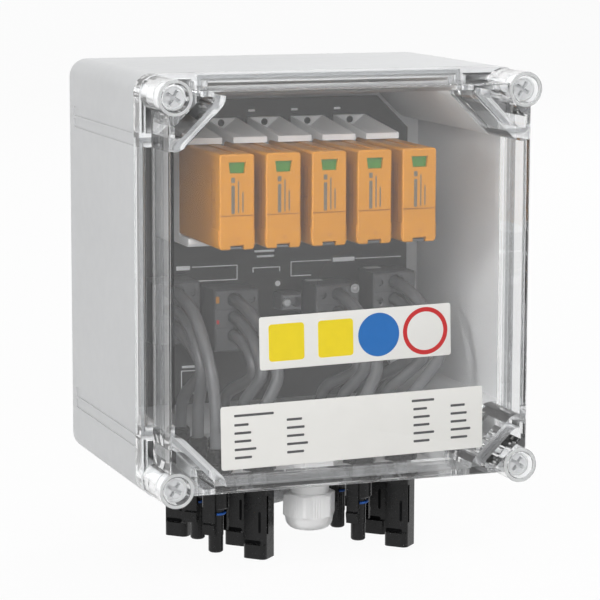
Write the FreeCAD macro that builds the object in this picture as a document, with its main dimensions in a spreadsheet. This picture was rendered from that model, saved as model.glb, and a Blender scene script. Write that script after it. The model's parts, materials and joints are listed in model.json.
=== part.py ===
"""Photovoltaic junction box: wall-mounted case with surge arresters, terminals and plug connectors.

Frame: +X to the right seen from the front, +Z up, the front faces -Y.
The origin is the centre of the back face, which lies on the wall. Lengths are millimetres.
"""
import FreeCAD
import Part
import Sketcher
import math
import os
import re

Vector = FreeCAD.Vector
Rotation = FreeCAD.Rotation
Placement = FreeCAD.Placement

# Every driving dimension: its name, its value and what it measures
DIMENSIONS = [
    ("case_width", 192.0, "outside width of base and lid flange"),
    ("case_height", 200.0, "outside height of base and lid flange"),
    ("base_depth", 115.0, "back face to the joint with the lid"),
    ("case_corner", 9.0, "outside corner radius"),
    ("back_edge", 2.5, "radius round the back edge"),
    ("wall", 3.0, "wall of the base"),
    ("back_wall", 3.0, "back wall of the base"),
    ("back_recess", 1.2, "depth of the sunk panel in the back face"),
    ("back_rim", 8.0, "width of the rim round the sunk panel"),
    ("flange_depth", 9.5, "depth of the lid flange"),
    ("lid_rise", 27.0, "flange to the front plane of the lid"),
    ("lid_inset", 5.8, "step from the flange to the raised part of the lid"),
    ("lid_wall", 3.0, "walls and front panel of the lid"),
    ("flange_wall", 3.7, "side wall of the lid flange, wide enough for the seal"),
    ("corner_leg", 34.5, "lid corner to the line of the inner diagonal wall, along either edge"),
    ("corner_side", 28.1, "lid corner to the upright ends of that wall"),
    ("corner_wall", 4.9, "thickness of the diagonal sealing walls"),
    ("corner_end", 6.6, "thickness of their upright ends"),
    ("corner_bend", 8.0, "bend from an end to the diagonal, on the cavity side"),
    ("well_bend", 3.5, "the same bend on the side of the screw tower"),
    ("corner_slot", 6.0, "width of the diagonal slot behind each screw tower"),
    ("tower_radius", 8.5, "outside radius of the screw towers"),
    ("tower_proud", 0.4, "screw towers in front of the lid's front plane"),
    ("screw_inset", 9.0, "lid screws from the outside of the case, both ways"),
    ("head_radius", 6.0, "head of a lid screw"),
    ("head_height", 6.0, "height of that head"),
    ("head_sunk", 2.5, "head below the front plane"),
    ("head_gap", 0.4, "gap round the head in its tower"),
    ("shank_radius", 3.0, "shank of a lid screw"),
    ("shank_gap", 0.08, "running gap round the shank in the lid"),
    ("shank_reach", 11.0, "shank beyond the joint, in the base"),
    ("boss_radius", 5.6, "screw column in the corner of the base"),
    ("boss_gap", 0.35, "gap round the shank in the base"),
    ("seal_width", 1.8, "width of the lid seal"),
    ("seal_height", 2.5, "height of the lid seal"),
    ("seal_edge", 1.1, "outside face to the seal channel"),
    ("seal_gap", 0.1, "room beside the seal in its channel"),
    ("gate_radius", 2.3, "moulding mark in the middle of the lid"),
    ("flow_radius", 17.5, "shallow disc behind the moulding mark"),
    ("mark_height", 0.3, "height of these two marks"),
    ("band_level", 71.6, "middle of each pair of side bands, above and below centre"),
    ("band_height", 4.7, "height of one sunk side band"),
    ("band_bridge", 1.1, "web between the two bands of a pair"),
    ("band_depth", 0.6, "depth of a side band"),
    ("band_start", 9.5, "back face to the start of the bands"),
    ("fixing_inset", 16.0, "wall fixing holes from the outside of the case, both ways"),
    ("fixing_radius", 2.6, "wall fixing hole"),
    ("plate_front", 19.0, "back face to the front of the mounting plate"),
    ("plate_thick", 2.0, "mounting plate"),
    ("plate_side", 15.5, "side edges of the plate from the outside of the case"),
    ("plate_above", 21.0, "top edge of the plate from the top of the case"),
    ("plate_below", 23.0, "bottom edge of the plate from the foot of the case"),
    ("plate_cut", 17.0, "diagonal cut across each corner of the plate"),
    ("post_radius", 4.5, "post that carries the plate"),
    ("post_inset", 7.5, "plate screws from the side edges of the plate"),
    ("post_high", 27.0, "upper plate screws from the top edge of the plate"),
    ("post_low", 17.0, "lower plate screws from its bottom edge"),
    ("pin_radius", 1.5, "shank of a plate screw"),
    ("pin_head", 3.2, "head of a plate screw"),
    ("pin_head_height", 2.2, "height of that head"),
    ("pin_length", 10.0, "shank of a plate screw"),
    ("module_width", 17.5, "width of an arrester"),
    ("module_middle", 1.2, "middle arrester right of centre"),
    ("module_pitch", 23.3, "from arrester to arrester"),
    ("plug_front", 115.0, "back face to the front of the arrester plugs"),
    ("plug_rear", 51.3, "back face to the rear of the arrester plugs"),
    ("plug_top", 60.9, "top of the plugs above centre"),
    ("plug_height", 45.6, "height of an arrester plug"),
    ("plug_round", 1.6, "long edges of a plug"),
    ("plug_nose", 0.8, "edges round the front of a plug"),
    ("plug_gap", 0.3, "running gap between a plug and its base"),
    ("arm_front", 66.0, "back face to the front of the base arms"),
    ("upper_arm", 2.9, "thickness of the upper arm at its lip"),
    ("lower_arm", 4.3, "thickness of the lower arm"),
    ("base_rise", 5.6, "rise of the arrester base from its lip to the plate"),
    ("funnel_depth", 6.2, "depth of the screwdriver funnel at the plate"),
    ("funnel_wall", 1.4, "upright wall behind the funnel"),
    ("funnel_hole", 1.8, "radius of the screw hole in that wall"),
    ("window_drop", 3.8, "plug top to the indicator window"),
    ("window_height", 5.3, "indicator window"),
    ("window_half_top", 4.3, "half width of the window at its top"),
    ("window_half_foot", 3.6, "half width of the window at its foot"),
    ("window_wall", 1.6, "front wall of the plug at the window"),
    ("flag_height", 7.2, "indicator flag"),
    ("flag_width", 10.4, "indicator flag"),
    ("flag_thick", 1.2, "indicator flag"),
    ("flag_gap", 0.3, "running gap round the flag"),
    ("flag_travel", 7.0, "drop of the flag when the arrester trips"),
    ("seam_drop", 29.0, "plug top to the seam across the front"),
    ("seam_width", 0.5, "seam across the front of a plug"),
    ("grip_height", 9.4, "wider grip at the foot of a plug"),
    ("grip_proud", 0.35, "grip proud of the sides"),
    ("grip_depth", 12.0, "depth of the grip from the front"),
    ("notch_half", 3.5, "half width of the latch notch"),
    ("notch_height", 2.3, "height of the latch notch"),
    ("notch_depth", 3.0, "depth of the latch notch"),
    ("rail_width", 5.0, "raised rail along the top of a plug"),
    ("rail_step", 0.7, "step beside that rail"),
    ("blade_thick", 1.2, "contact blade of a plug"),
    ("blade_width", 6.0, "contact blade of a plug"),
    ("blade_length", 14.0, "contact blade of a plug"),
    ("blade_gap", 0.5, "room round a blade in its slot"),
    ("blade_offset", 12.0, "blades above and below the middle of a plug"),
    ("block_width", 23.3, "terminal block"),
    ("block_height", 31.5, "terminal block"),
    ("block_depth", 22.0, "terminal block in front of the plate"),
    ("block_edge", 0.8, "edges of a terminal block"),
    ("outer_block_top", 10.4, "top of the outer blocks below centre"),
    ("inner_block_top", 15.5, "top of the inner blocks below centre"),
    ("block_middle", 6.5, "middle of the four blocks right of centre"),
    ("inner_block_at", 27.2, "inner blocks from that middle"),
    ("outer_block_at", 58.4, "outer blocks from that middle"),
    ("pole_first", 5.2, "block top to its first pole"),
    ("pole_pitch", 9.2, "from pole to pole"),
    ("pole_side", 1.0, "cable entry off the middle of its block"),
    ("entry_radius", 3.5, "cable entry"),
    ("entry_flare", 4.4, "mouth of a cable entry"),
    ("entry_depth", 5.0, "depth of a cable entry"),
    ("clamp_side", 8.0, "clamp screw off the middle of its block"),
    ("clamp_radius", 1.7, "clamp screw"),
    ("clamp_gap", 0.1, "gap round a clamp screw"),
    ("clamp_sunk", 1.0, "clamp screw below the front of its block"),
    ("clamp_length", 9.0, "clamp screw"),
    ("joint_line", 0.6, "groove between two poles"),
    ("cable_radius", 3.0, "panel cable with its sheath"),
    ("port_inner", 26.2, "inner connector columns from the centre"),
    ("port_outer", 48.6, "outer connector columns from the centre"),
    ("port_setback", 23.0, "front connector row from the joint with the lid"),
    ("port_pitch", 29.0, "from row to row"),
    ("thread_radius", 5.8, "thread of a panel connector"),
    ("thread_gap", 0.2, "gap round it in the case wall"),
    ("thread_length", 8.0, "thread above the outside of the case"),
    ("tail_radius", 4.8, "tail of a panel connector"),
    ("tail_length", 15.0, "tail above the outside of the case"),
    ("collar_radius", 8.0, "collar of a panel connector"),
    ("collar_height", 2.5, "collar of a panel connector"),
    ("nut_flats", 15.0, "lock nut across its flats"),
    ("nut_height", 4.0, "lock nut"),
    ("socket_side", 12.4, "side of a socket housing"),
    ("socket_round", 2.6, "corners of a socket housing"),
    ("socket_length", 41.2, "socket connector below the case"),
    ("socket_foot", 7.0, "full-size foot of a socket connector"),
    ("socket_waist", 1.7, "waist above the foot, each side"),
    ("socket_neck", 9.0, "case to the start of the waist"),
    ("socket_bore", 3.9, "bore that takes the mating pin"),
    ("socket_depth", 16.0, "depth of that bore"),
    ("socket_slot", 1.8, "width of the corner slots"),
    ("contact_radius", 2.0, "metal contact behind the bore"),
    ("pin_tube", 3.65, "plastic tube of a pin connector"),
    ("pin_step", 0.2, "thicker root of that tube"),
    ("pin_tip", 8.6, "length of its thinner tip"),
    ("pin_tube_bore", 1.9, "bore of that tube"),
    ("pin_tube_end", 36.8, "case to the end of the tube"),
    ("barrel_radius", 6.6, "barrel of a pin connector"),
    ("barrel_length", 14.8, "case to the end of the barrel"),
    ("arm_end", 27.2, "case to the end of the latch arms"),
    ("arm_wide", 6.4, "width of a latch arm"),
    ("arm_thick", 2.0, "thickness of a latch arm"),
    ("arm_proud", 0.8, "latch arm proud of the barrel"),
    ("ring_drop", 17.3, "case to the sealing ring"),
    ("ring_section", 0.62, "section radius of the sealing ring"),
    ("gland_across", 1.5, "cable gland right of centre"),
    ("gland_setback", 27.0, "cable gland from the joint with the lid"),
    ("gland_thread", 9.9, "thread of the cable gland"),
    ("gland_gap", 0.2, "gap round it in the case wall"),
    ("gland_flats", 24.0, "gland nut and body across their flats"),
    ("gland_collar", 5.2, "hexagon of the gland body below the case"),
    ("gland_neck", 22.0, "neck of the gland body below the case"),
    ("gland_inside", 9.0, "thread above the outside of the case"),
    ("gland_bore", 7.2, "bore of the gland body"),
    ("gland_seal_bore", 4.5, "cable opening of the seal"),
    ("gland_nut_top", 11.0, "case to the top of the gland nut"),
    ("gland_nut_end", 29.6, "case to the end of the gland nut"),
    ("gland_nut_gap", 0.08, "running gap round the neck"),
    ("gland_mouth", 6.2, "opening in the end of the gland nut"),
    ("gland_nut_wall", 2.4, "end wall of the gland nut"),
    ("dome_height", 6.5, "rounded end of the gland nut"),
    ("vent_across", -8.5, "pressure vent right of centre"),
    ("vent_setback", 55.0, "pressure vent from the joint with the lid"),
    ("vent_radius", 8.0, "cap of the pressure vent"),
    ("vent_thread", 5.8, "thread of the pressure vent"),
    ("vent_end", 22.0, "case to the end of the vent"),
    ("earth_across", 12.2, "earth terminal right of centre"),
    ("earth_level", 25.0, "earth terminal below centre"),
    ("earth_width", 11.0, "earth terminal"),
    ("earth_height", 8.6, "earth terminal"),
    ("earth_depth", 12.0, "earth terminal in front of the plate"),
    ("earth_entry", 2.6, "radius of the earth wire entry"),
    ("earth_entry_depth", 8.0, "depth of the earth wire entry"),
    ("earth_side", 2.6, "screw and entry off the middle of the earth terminal"),
    ("earth_screw", 2.2, "earth screw"),
]

doc = FreeCAD.newDocument("pv_junction_box")
sheet = doc.addObject("Spreadsheet::Sheet", "Sizes")
for row, (alias, number, meaning) in enumerate(DIMENSIONS, start=1):
    sheet.set("A%d" % row, meaning)
    sheet.set("B%d" % row, "%.4f" % number)
    sheet.setAlias("B%d" % row, alias)
doc.recompute()

ALIASES = set(alias for alias, number, meaning in DIMENSIONS)
WORD = re.compile(r"[a-z][a-z_0-9]*")

# Turns that lay a piece's own +Z along an axis of the box
UPWARD = Rotation()
DOWNWARD = Rotation(Vector(1, 0, 0), 180)
FORWARD = Rotation(Vector(1, 0, 0), 90)


def formula(text):
    """The text with each dimension's name turned into a reference to the sheet."""
    return WORD.sub(lambda m: "Sizes." + m.group() if m.group() in ALIASES else m.group(), str(text))


def value(text):
    """The present number of a formula."""
    return float(doc.Sizes.evalExpression(str(text)))


def bind(thing, **properties):
    """Bind properties of a document object to formulas."""
    for name, text in properties.items():
        thing.setExpression(name, formula(text))


def put(thing, x=0, y=0, z=0, turn=UPWARD):
    """Turn a thing and bind its place to formulas."""
    thing.Placement = Placement(Vector(), turn)
    for axis, text in zip("xyz", (x, y, z)):
        thing.setExpression(".Placement.Base." + axis, formula(text))
    return thing


def box(name, length, width, height, at, turn=UPWARD):
    """A box whose lowest corner is at a point."""
    thing = doc.addObject("Part::Box", name)
    bind(thing, Length=length, Width=width, Height=height)
    return put(thing, *at, turn=turn)


def rod(name, radius, height, at, turn=UPWARD):
    """A cylinder that starts at a point."""
    thing = doc.addObject("Part::Cylinder", name)
    bind(thing, Radius=radius, Height=height)
    return put(thing, *at, turn=turn)


def group(label, things):
    """Separate solids under one label."""
    thing = doc.addObject("Part::Compound", label)
    thing.Links = things
    thing.Label = label
    return thing


def cut(label, base, tools):
    """A solid less several tools."""
    joined = doc.addObject("Part::MultiFuse", label + "_tools")
    joined.Shapes = tools
    thing = doc.addObject("Part::Cut", label)
    thing.Base = base
    thing.Tool = joined if len(tools) > 1 else tools[0]
    if len(tools) == 1:
        doc.removeObject(joined.Name)
    thing.Label = label
    return thing


def body(label):
    """An empty body for one sub-part."""
    thing = doc.addObject("PartDesign::Body", label)
    thing.Label = label
    return thing


def plane(owner, role):
    """One of a body's own origin planes."""
    return next(item for item in owner.Origin.OriginFeatures if item.Role == role)


def sketch(owner, name, role, offset=0):
    """A sketch on an origin plane, moved along the plane's normal."""
    drawing = owner.newObject("Sketcher::SketchObject", owner.Name + "_" + name)
    drawing.AttachmentSupport = [(plane(owner, role), "")]
    drawing.MapMode = "FlatFace"
    drawing.setExpression(".AttachmentOffset.Base.z", formula(offset))
    return drawing


def fix(drawing, kind, geometry, point, text):
    """Bind one coordinate of a sketch point to a formula."""
    index = drawing.addConstraint(Sketcher.Constraint(kind, -1, 1, geometry, point, value(text)))
    drawing.setExpression("Constraints[%d]" % index, formula(text))


def outline(drawing, corners):
    """A closed outline of straight lines through corners that are pairs of formulas."""
    points = [Vector(value(x), value(y), 0) for x, y in corners]
    lines = [Part.LineSegment(a, b) for a, b in zip(points, points[1:] + points[:1])]
    first = drawing.GeometryCount
    drawing.addGeometry(lines, False)
    for index, (x, y) in enumerate(corners):
        before = first + (index - 1) % len(corners)
        drawing.addConstraint(Sketcher.Constraint("Coincident", before, 2, first + index, 1))
        fix(drawing, "DistanceX", first + index, 1, x)
        fix(drawing, "DistanceY", first + index, 1, y)


def circle(drawing, x, y, radius):
    """A circle bound to formulas."""
    index = drawing.GeometryCount
    drawing.addGeometry(Part.Circle(Vector(value(x), value(y), 0), Vector(0, 0, 1), value(radius)), False)
    fix(drawing, "DistanceX", index, 3, x)
    fix(drawing, "DistanceY", index, 3, y)
    size = drawing.addConstraint(Sketcher.Constraint("Radius", index, value(radius)))
    drawing.setExpression("Constraints[%d]" % size, formula(radius))


def rectangle(drawing, left, right, low, high):
    """An upright rectangle between four formulas."""
    outline(drawing, [(left, low), (right, low), (right, high), (left, high)])


def stepped(drawing, half_x, half_z, side_x, side_z, reach):
    """A rectangle about the centre, stepped in at its corners round a bump with a diagonal face."""
    x, z, u, v, r = ("(%s)" % text for text in (half_x, half_z, side_x, side_z, reach))
    quarter = [(x, v), ("(%s - %s)" % (r, v), v), (u, "(%s - %s)" % (r, u)), (u, z)]
    corners = []
    for sx, sz in CORNERS:
        points = [(signed(sx, px), signed(sz, pz)) for px, pz in quarter]
        corners += points if sx * sz > 0 else points[::-1]
    outline(drawing, corners)


def pad(drawing, length, backwards=False, centred=False):
    """Add material along the sketch's normal."""
    owner = drawing.getParentGeoFeatureGroup()
    feature = owner.newObject("PartDesign::Pad", drawing.Name + "_pad")
    feature.Profile = drawing
    feature.Reversed = backwards
    feature.Midplane = centred
    bind(feature, Length=length)
    return feature


def pocket(drawing, length, forwards=False, centred=False):
    """Take material away against the sketch's normal, or along it."""
    owner = drawing.getParentGeoFeatureGroup()
    feature = owner.newObject("PartDesign::Pocket", drawing.Name + "_pocket")
    feature.Profile = drawing
    feature.Reversed = forwards
    feature.Midplane = centred
    bind(feature, Length=length)
    return feature


def turned(drawing):
    """A full turn of an outline about the sketch's upright axis."""
    owner = drawing.getParentGeoFeatureGroup()
    feature = owner.newObject("PartDesign::Revolution", drawing.Name + "_turn")
    feature.Profile = drawing
    feature.ReferenceAxis = (drawing, ["V_Axis"])
    feature.Angle = 360
    return feature


def dress(owner, kind, name, size, test):
    """A fillet or chamfer on the edges of the body that pass a test."""
    doc.recompute()
    base = owner.Tip
    names = ["Edge%d" % (i + 1) for i, edge in enumerate(base.Shape.Edges) if test(edge)]
    assert names, owner.Label + " has no edge for " + name
    feature = owner.newObject("PartDesign::" + kind, owner.Name + "_" + name)
    feature.Base = (base, names)
    bind(feature, **{"Radius" if kind == "Fillet" else "Size": size})
    return feature


def runs_along(edge, axis):
    """Whether an edge is straight and lies along an axis."""
    if not isinstance(edge.Curve, Part.Line):
        return False
    return abs(edge.Curve.Direction.dot(axis)) > 0.999


def lies_at(edge, axis, place):
    """Whether all of an edge lies in one plane square to an axis."""
    return all(abs(edge.valueAt(t).dot(axis) - place) < 0.01 for t in edge.ParameterRange)


X_AXIS, Y_AXIS, Z_AXIS = Vector(1, 0, 0), Vector(0, 1, 0), Vector(0, 0, 1)

# Places along the depth, measured forward from the back face
FLANGE_FRONT = "(base_depth + flange_depth)"
LID_FRONT = "(base_depth + flange_depth + lid_rise)"
PANEL_X = "(case_width / 2 - lid_inset)"
PANEL_Z = "(case_height / 2 - lid_inset)"

# Places of what is screwed to the case or stands in its bottom wall
SCREW_X = "(case_width / 2 - screw_inset)"
SCREW_Z = "(case_height / 2 - screw_inset)"
PLATE_X = "(case_width / 2 - plate_side)"
PLATE_TOP = "(case_height / 2 - plate_above)"
PLATE_FOOT = "(plate_below - case_height / 2)"
POST_X = "(%s - post_inset)" % PLATE_X
POSTS = [(across, level) for across in ("-" + POST_X, POST_X)
         for level in ("(%s - post_high)" % PLATE_TOP, "(%s + post_low)" % PLATE_FOOT)]
GLAND_Y = "(gland_setback - base_depth)"
VENT_Y = "(vent_setback - base_depth)"

# The corner walls: their upright ends, and their diagonal faces as the sum of the distances
# from the two centre lines
INNER_SIDE_X = "(%s - corner_side)" % PANEL_X
INNER_SIDE_Z = "(%s - corner_side)" % PANEL_Z
INNER_REACH = "(%s + %s - corner_leg)" % (PANEL_X, PANEL_Z)
WELL_SIDE_X = "(%s + corner_end)" % INNER_SIDE_X
WELL_SIDE_Z = "(%s + corner_end)" % INNER_SIDE_Z
WELL_REACH = "(%s + corner_wall * sqrt(2))" % INNER_REACH
SLOT_REACH = "(%s + corner_slot * sqrt(2))" % WELL_REACH

CORNERS = [(1, 1), (-1, 1), (-1, -1), (1, -1)]
MODULES = range(1, 6)
POLES = range(3)


def signed(sign, text):
    """A formula with a sign."""
    return "%d * (%s)" % (sign, text)


def port_y(line):
    """Depth of a row of panel connectors, counted from the front."""
    return "(port_setback + %d * port_pitch - base_depth)" % line


def corner_pocket(drawing, sx, sz, half_x, half_z, limit=None):
    """The space beyond a corner wall, within straight sides and up to a second diagonal."""
    x, z = "(%s)" % half_x, "(%s)" % half_z
    points = [(WELL_SIDE_X, "%s - %s" % (WELL_REACH, WELL_SIDE_X)), (WELL_SIDE_X, z)]
    if limit:
        points += [("(%s) - %s" % (limit, z), z), (x, "(%s) - %s" % (limit, x))]
    else:
        points += [(x, z)]
    points += [(x, WELL_SIDE_Z), ("%s - %s" % (WELL_REACH, WELL_SIDE_Z), WELL_SIDE_Z)]
    outline(drawing, [(signed(sx, px), signed(sz, pz)) for px, pz in points])


def bends(owner, name, radius, side_x, side_z, reach, depth):
    """Round the bends of the corner walls, on edges that reach a given depth."""
    side_x, side_z, reach, depth = (value(text) for text in (side_x, side_z, reach, depth))
    spots = [(side_x, reach - side_x), (reach - side_z, side_z)]

    def bend(edge):
        if not runs_along(edge, Y_AXIS):
            return False
        places = [(abs(point.x), abs(point.z), -point.y) for point in map(edge.valueAt, edge.ParameterRange)]
        at_spot = any(math.hypot(places[0][0] - x, places[0][1] - z) < 0.01 for x, z in spots)
        return at_spot and any(abs(place[2] - depth) < 0.01 for place in places)

    dress(owner, "Fillet", name, radius, bend)


def make_base():
    """The base: a deep moulded tray with diagonal sealing walls, screw columns and plate posts."""
    owner = body("base_housing")
    half_x, half_z = "case_width / 2", "case_height / 2"

    shell = sketch(owner, "outside", "XZ_Plane")
    rectangle(shell, "-" + half_x, half_x, "-" + half_z, half_z)
    pad(shell, "base_depth")
    dress(owner, "Fillet", "corners", "case_corner", lambda e: runs_along(e, Y_AXIS))
    dress(owner, "Fillet", "back_round", "back_edge", lambda e: lies_at(e, Y_AXIS, 0))

    cavity = sketch(owner, "cavity", "XZ_Plane", "base_depth")
    stepped(cavity, half_x + " - wall", half_z + " - wall", INNER_SIDE_X, INNER_SIDE_Z, INNER_REACH)
    pocket(cavity, "base_depth - back_wall")
    bends(owner, "cavity_bends", "corner_bend", INNER_SIDE_X, INNER_SIDE_Z, INNER_REACH, "base_depth")

    # Dry corner wells, open to the front, with the lid screw column left standing in each
    wells = sketch(owner, "wells", "XZ_Plane", "base_depth")
    for sx, sz in CORNERS:
        corner_pocket(wells, sx, sz, half_x + " - wall", half_z + " - wall")
    pocket(wells, "base_depth - back_wall")
    bends(owner, "well_bends", "well_bend", WELL_SIDE_X, WELL_SIDE_Z, WELL_REACH, "base_depth")
    columns = sketch(owner, "columns", "XZ_Plane", "back_wall")
    for sx, sz in CORNERS:
        circle(columns, signed(sx, SCREW_X), signed(sz, SCREW_Z), "boss_radius")
    pad(columns, "base_depth - back_wall")
    bores = sketch(owner, "bores", "XZ_Plane", "base_depth")
    for sx, sz in CORNERS:
        circle(bores, signed(sx, SCREW_X), signed(sz, SCREW_Z),
               "shank_radius + boss_gap")
    pocket(bores, "shank_reach + 9")
    fixings = sketch(owner, "fixings", "XZ_Plane", "back_wall")
    for sx, sz in CORNERS:
        circle(fixings, signed(sx, "case_width / 2 - fixing_inset"),
               signed(sz, "case_height / 2 - fixing_inset"), "fixing_radius")
    pocket(fixings, "back_wall + 1")

    # Posts for the mounting plate, each with a pilot hole
    posts = sketch(owner, "posts", "XZ_Plane", "back_wall")
    for across, level in POSTS:
        circle(posts, across, level, "post_radius")
    pad(posts, "plate_front - plate_thick - back_wall")
    pilots = sketch(owner, "pilots", "XZ_Plane", "plate_front - plate_thick")
    for across, level in POSTS:
        circle(pilots, across, level, "pin_radius")
    pocket(pilots, "pin_length - plate_thick + 1")

    # Sunk panel in the back face, within a rim that meets the wall
    sunk = sketch(owner, "sunk_back", "XZ_Plane")
    stepped(sunk, half_x + " - back_rim", half_z + " - back_rim", WELL_SIDE_X, WELL_SIDE_Z, WELL_REACH)
    pocket(sunk, "back_recess", forwards=True)

    # Two pairs of shallow bands along each side
    bands = sketch(owner, "bands", "YZ_Plane", "case_width / 2")
    for sz in (-1, 1):
        for side in (-1, 1):
            near = signed(sz, "band_level") + " + " + signed(side, "band_bridge / 2")
            far = signed(sz, "band_level") + " + " + signed(side, "band_bridge / 2 + band_height")
            low, high = (near, far) if side > 0 else (far, near)
            rectangle(bands, "-base_depth - 1", "-band_start", low, high)
    right = pocket(bands, "band_depth")
    mirror = owner.newObject("PartDesign::Mirrored", "base_housing_left_bands")
    mirror.Originals = [right]
    mirror.MirrorPlane = (plane(owner, "YZ_Plane"), [""])
    owner.Tip = mirror

    # Holes in the bottom wall for the connectors, the gland and the vent
    holes = sketch(owner, "bottom_holes", "XY_Plane", "-" + half_z)
    for column in ("-port_outer", "-port_inner", "port_inner", "port_outer"):
        for line in range(3):
            circle(holes, column, port_y(line), "thread_radius + thread_gap")
    circle(holes, "gland_across", GLAND_Y, "gland_thread + gland_gap")
    circle(holes, "vent_across", VENT_Y, "vent_thread + thread_gap")
    pocket(holes, "wall + 1", forwards=True)
    return owner


def make_lid():
    """The clear lid: a flange, a raised part cut back at the corners, and four screw towers."""
    owner = body("clear_lid")
    half_x, half_z = "case_width / 2", "case_height / 2"
    span_x, span_z = SCREW_X, SCREW_Z

    flange = sketch(owner, "flange", "XZ_Plane", "base_depth")
    rectangle(flange, "-" + half_x, half_x, "-" + half_z, half_z)
    pad(flange, "flange_depth")
    dress(owner, "Fillet", "flange_corners", "case_corner", lambda e: runs_along(e, Y_AXIS))

    raised = sketch(owner, "raised", "XZ_Plane", FLANGE_FRONT)
    rectangle(raised, "-" + PANEL_X, PANEL_X, "-" + PANEL_Z, PANEL_Z)
    pad(raised, "lid_rise")
    panel_x = value(PANEL_X)
    front = -value(LID_FRONT)
    dress(owner, "Fillet", "raised_corners", "case_corner - lid_inset + 1",
          lambda e: runs_along(e, Y_AXIS) and abs(abs(e.CenterOfMass.x) - panel_x) < 0.01)
    dress(owner, "Fillet", "front_edge", "lid_wall / 3", lambda e: lies_at(e, Y_AXIS, front))

    towers = sketch(owner, "towers", "XZ_Plane", FLANGE_FRONT)
    for sx, sz in CORNERS:
        circle(towers, signed(sx, span_x), signed(sz, span_z), "tower_radius")
    pad(towers, "lid_rise + tower_proud")

    rim = sketch(owner, "rim_space", "XZ_Plane", "base_depth")
    stepped(rim, half_x + " - flange_wall", half_z + " - flange_wall",
            INNER_SIDE_X, INNER_SIDE_Z, INNER_REACH)
    pocket(rim, "flange_depth - lid_wall", forwards=True)
    space = sketch(owner, "space", "XZ_Plane", "base_depth")
    stepped(space, PANEL_X + " - lid_wall", PANEL_Z + " - lid_wall",
            INNER_SIDE_X, INNER_SIDE_Z, INNER_REACH)
    pocket(space, "flange_depth + lid_rise - lid_wall", forwards=True)
    bends(owner, "space_bends", "corner_bend", INNER_SIDE_X, INNER_SIDE_Z, INNER_REACH, "base_depth")

    # Hollow under each flange corner, round the foot of its screw tower
    wells = sketch(owner, "wells", "XZ_Plane", "base_depth")
    for sx, sz in CORNERS:
        corner_pocket(wells, sx, sz, half_x + " - flange_wall", half_z + " - flange_wall")
    pocket(wells, "flange_depth - lid_wall", forwards=True)
    bends(owner, "well_bends", "well_bend", WELL_SIDE_X, WELL_SIDE_Z, WELL_REACH, "base_depth")
    feet = sketch(owner, "feet", "XZ_Plane", "base_depth")
    for sx, sz in CORNERS:
        circle(feet, signed(sx, span_x), signed(sz, span_z), "boss_radius")
    pad(feet, "flange_depth - lid_wall / 2")

    # Diagonal slot between the raised part and each tower
    slots = sketch(owner, "slots", "XZ_Plane", LID_FRONT)
    for sx, sz in CORNERS:
        corner_pocket(slots, sx, sz, PANEL_X + " - lid_wall", PANEL_Z + " - lid_wall", SLOT_REACH)
    pocket(slots, "lid_rise")
    bends(owner, "slot_bends", "well_bend", WELL_SIDE_X, WELL_SIDE_Z, WELL_REACH, LID_FRONT)

    # Screw holes with a wide seat for the heads
    seats = sketch(owner, "seats", "XZ_Plane", LID_FRONT + " + tower_proud")
    for sx, sz in CORNERS:
        circle(seats, signed(sx, span_x), signed(sz, span_z), "head_radius + head_gap")
    pocket(seats, "tower_proud + head_sunk + head_height")
    holes = sketch(owner, "holes", "XZ_Plane", LID_FRONT)
    for sx, sz in CORNERS:
        circle(holes, signed(sx, span_x), signed(sz, span_z), "shank_radius + shank_gap")
    pocket(holes, "lid_rise + flange_depth + 1")

    # Channel for the seal, in the face that meets the base
    channel = sketch(owner, "seal_channel", "XZ_Plane", "base_depth")
    seal_outlines(channel, "seal_gap")
    pocket(channel, "seal_height", forwards=True)

    # Moulding marks: a shallow disc behind the panel and a ring in front of it
    disc = sketch(owner, "flow_disc", "XZ_Plane", LID_FRONT + " - lid_wall - mark_height")
    circle(disc, 0, 0, "flow_radius")
    pad(disc, "mark_height + lid_wall / 2")
    ring = sketch(owner, "gate_mark", "XZ_Plane", LID_FRONT)
    circle(ring, 0, 0, "gate_radius")
    circle(ring, 0, 0, "gate_radius - 0.8")
    pocket(ring, "mark_height")
    return owner


def seal_outlines(drawing, gap):
    """Two nested outlines: the seal's outer and inner edge, each moved away by a gap."""
    half_x, half_z = "case_width / 2 - seal_edge", "case_height / 2 - seal_edge"
    half = "(seal_width / 2 + %s)" % gap
    for sign, shift in ((1, gap), (-1, "seal_width + " + gap)):
        stepped(drawing, "%s + %d * (%s)" % (half_x, sign, shift), "%s + %d * (%s)" % (half_z, sign, shift),
                "%s + corner_end / 2 + %d * %s" % (INNER_SIDE_X, sign, half),
                "%s + corner_end / 2 + %d * %s" % (INNER_SIDE_Z, sign, half),
                "%s + corner_wall / sqrt(2) + %d * %s * sqrt(2)" % (INNER_REACH, sign, half))


def make_seal():
    """The soft seal in the channel of the lid."""
    owner = body("lid_gasket")
    ring = sketch(owner, "ring", "XZ_Plane", "base_depth")
    seal_outlines(ring, "0")
    pad(ring, "seal_height")


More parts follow.
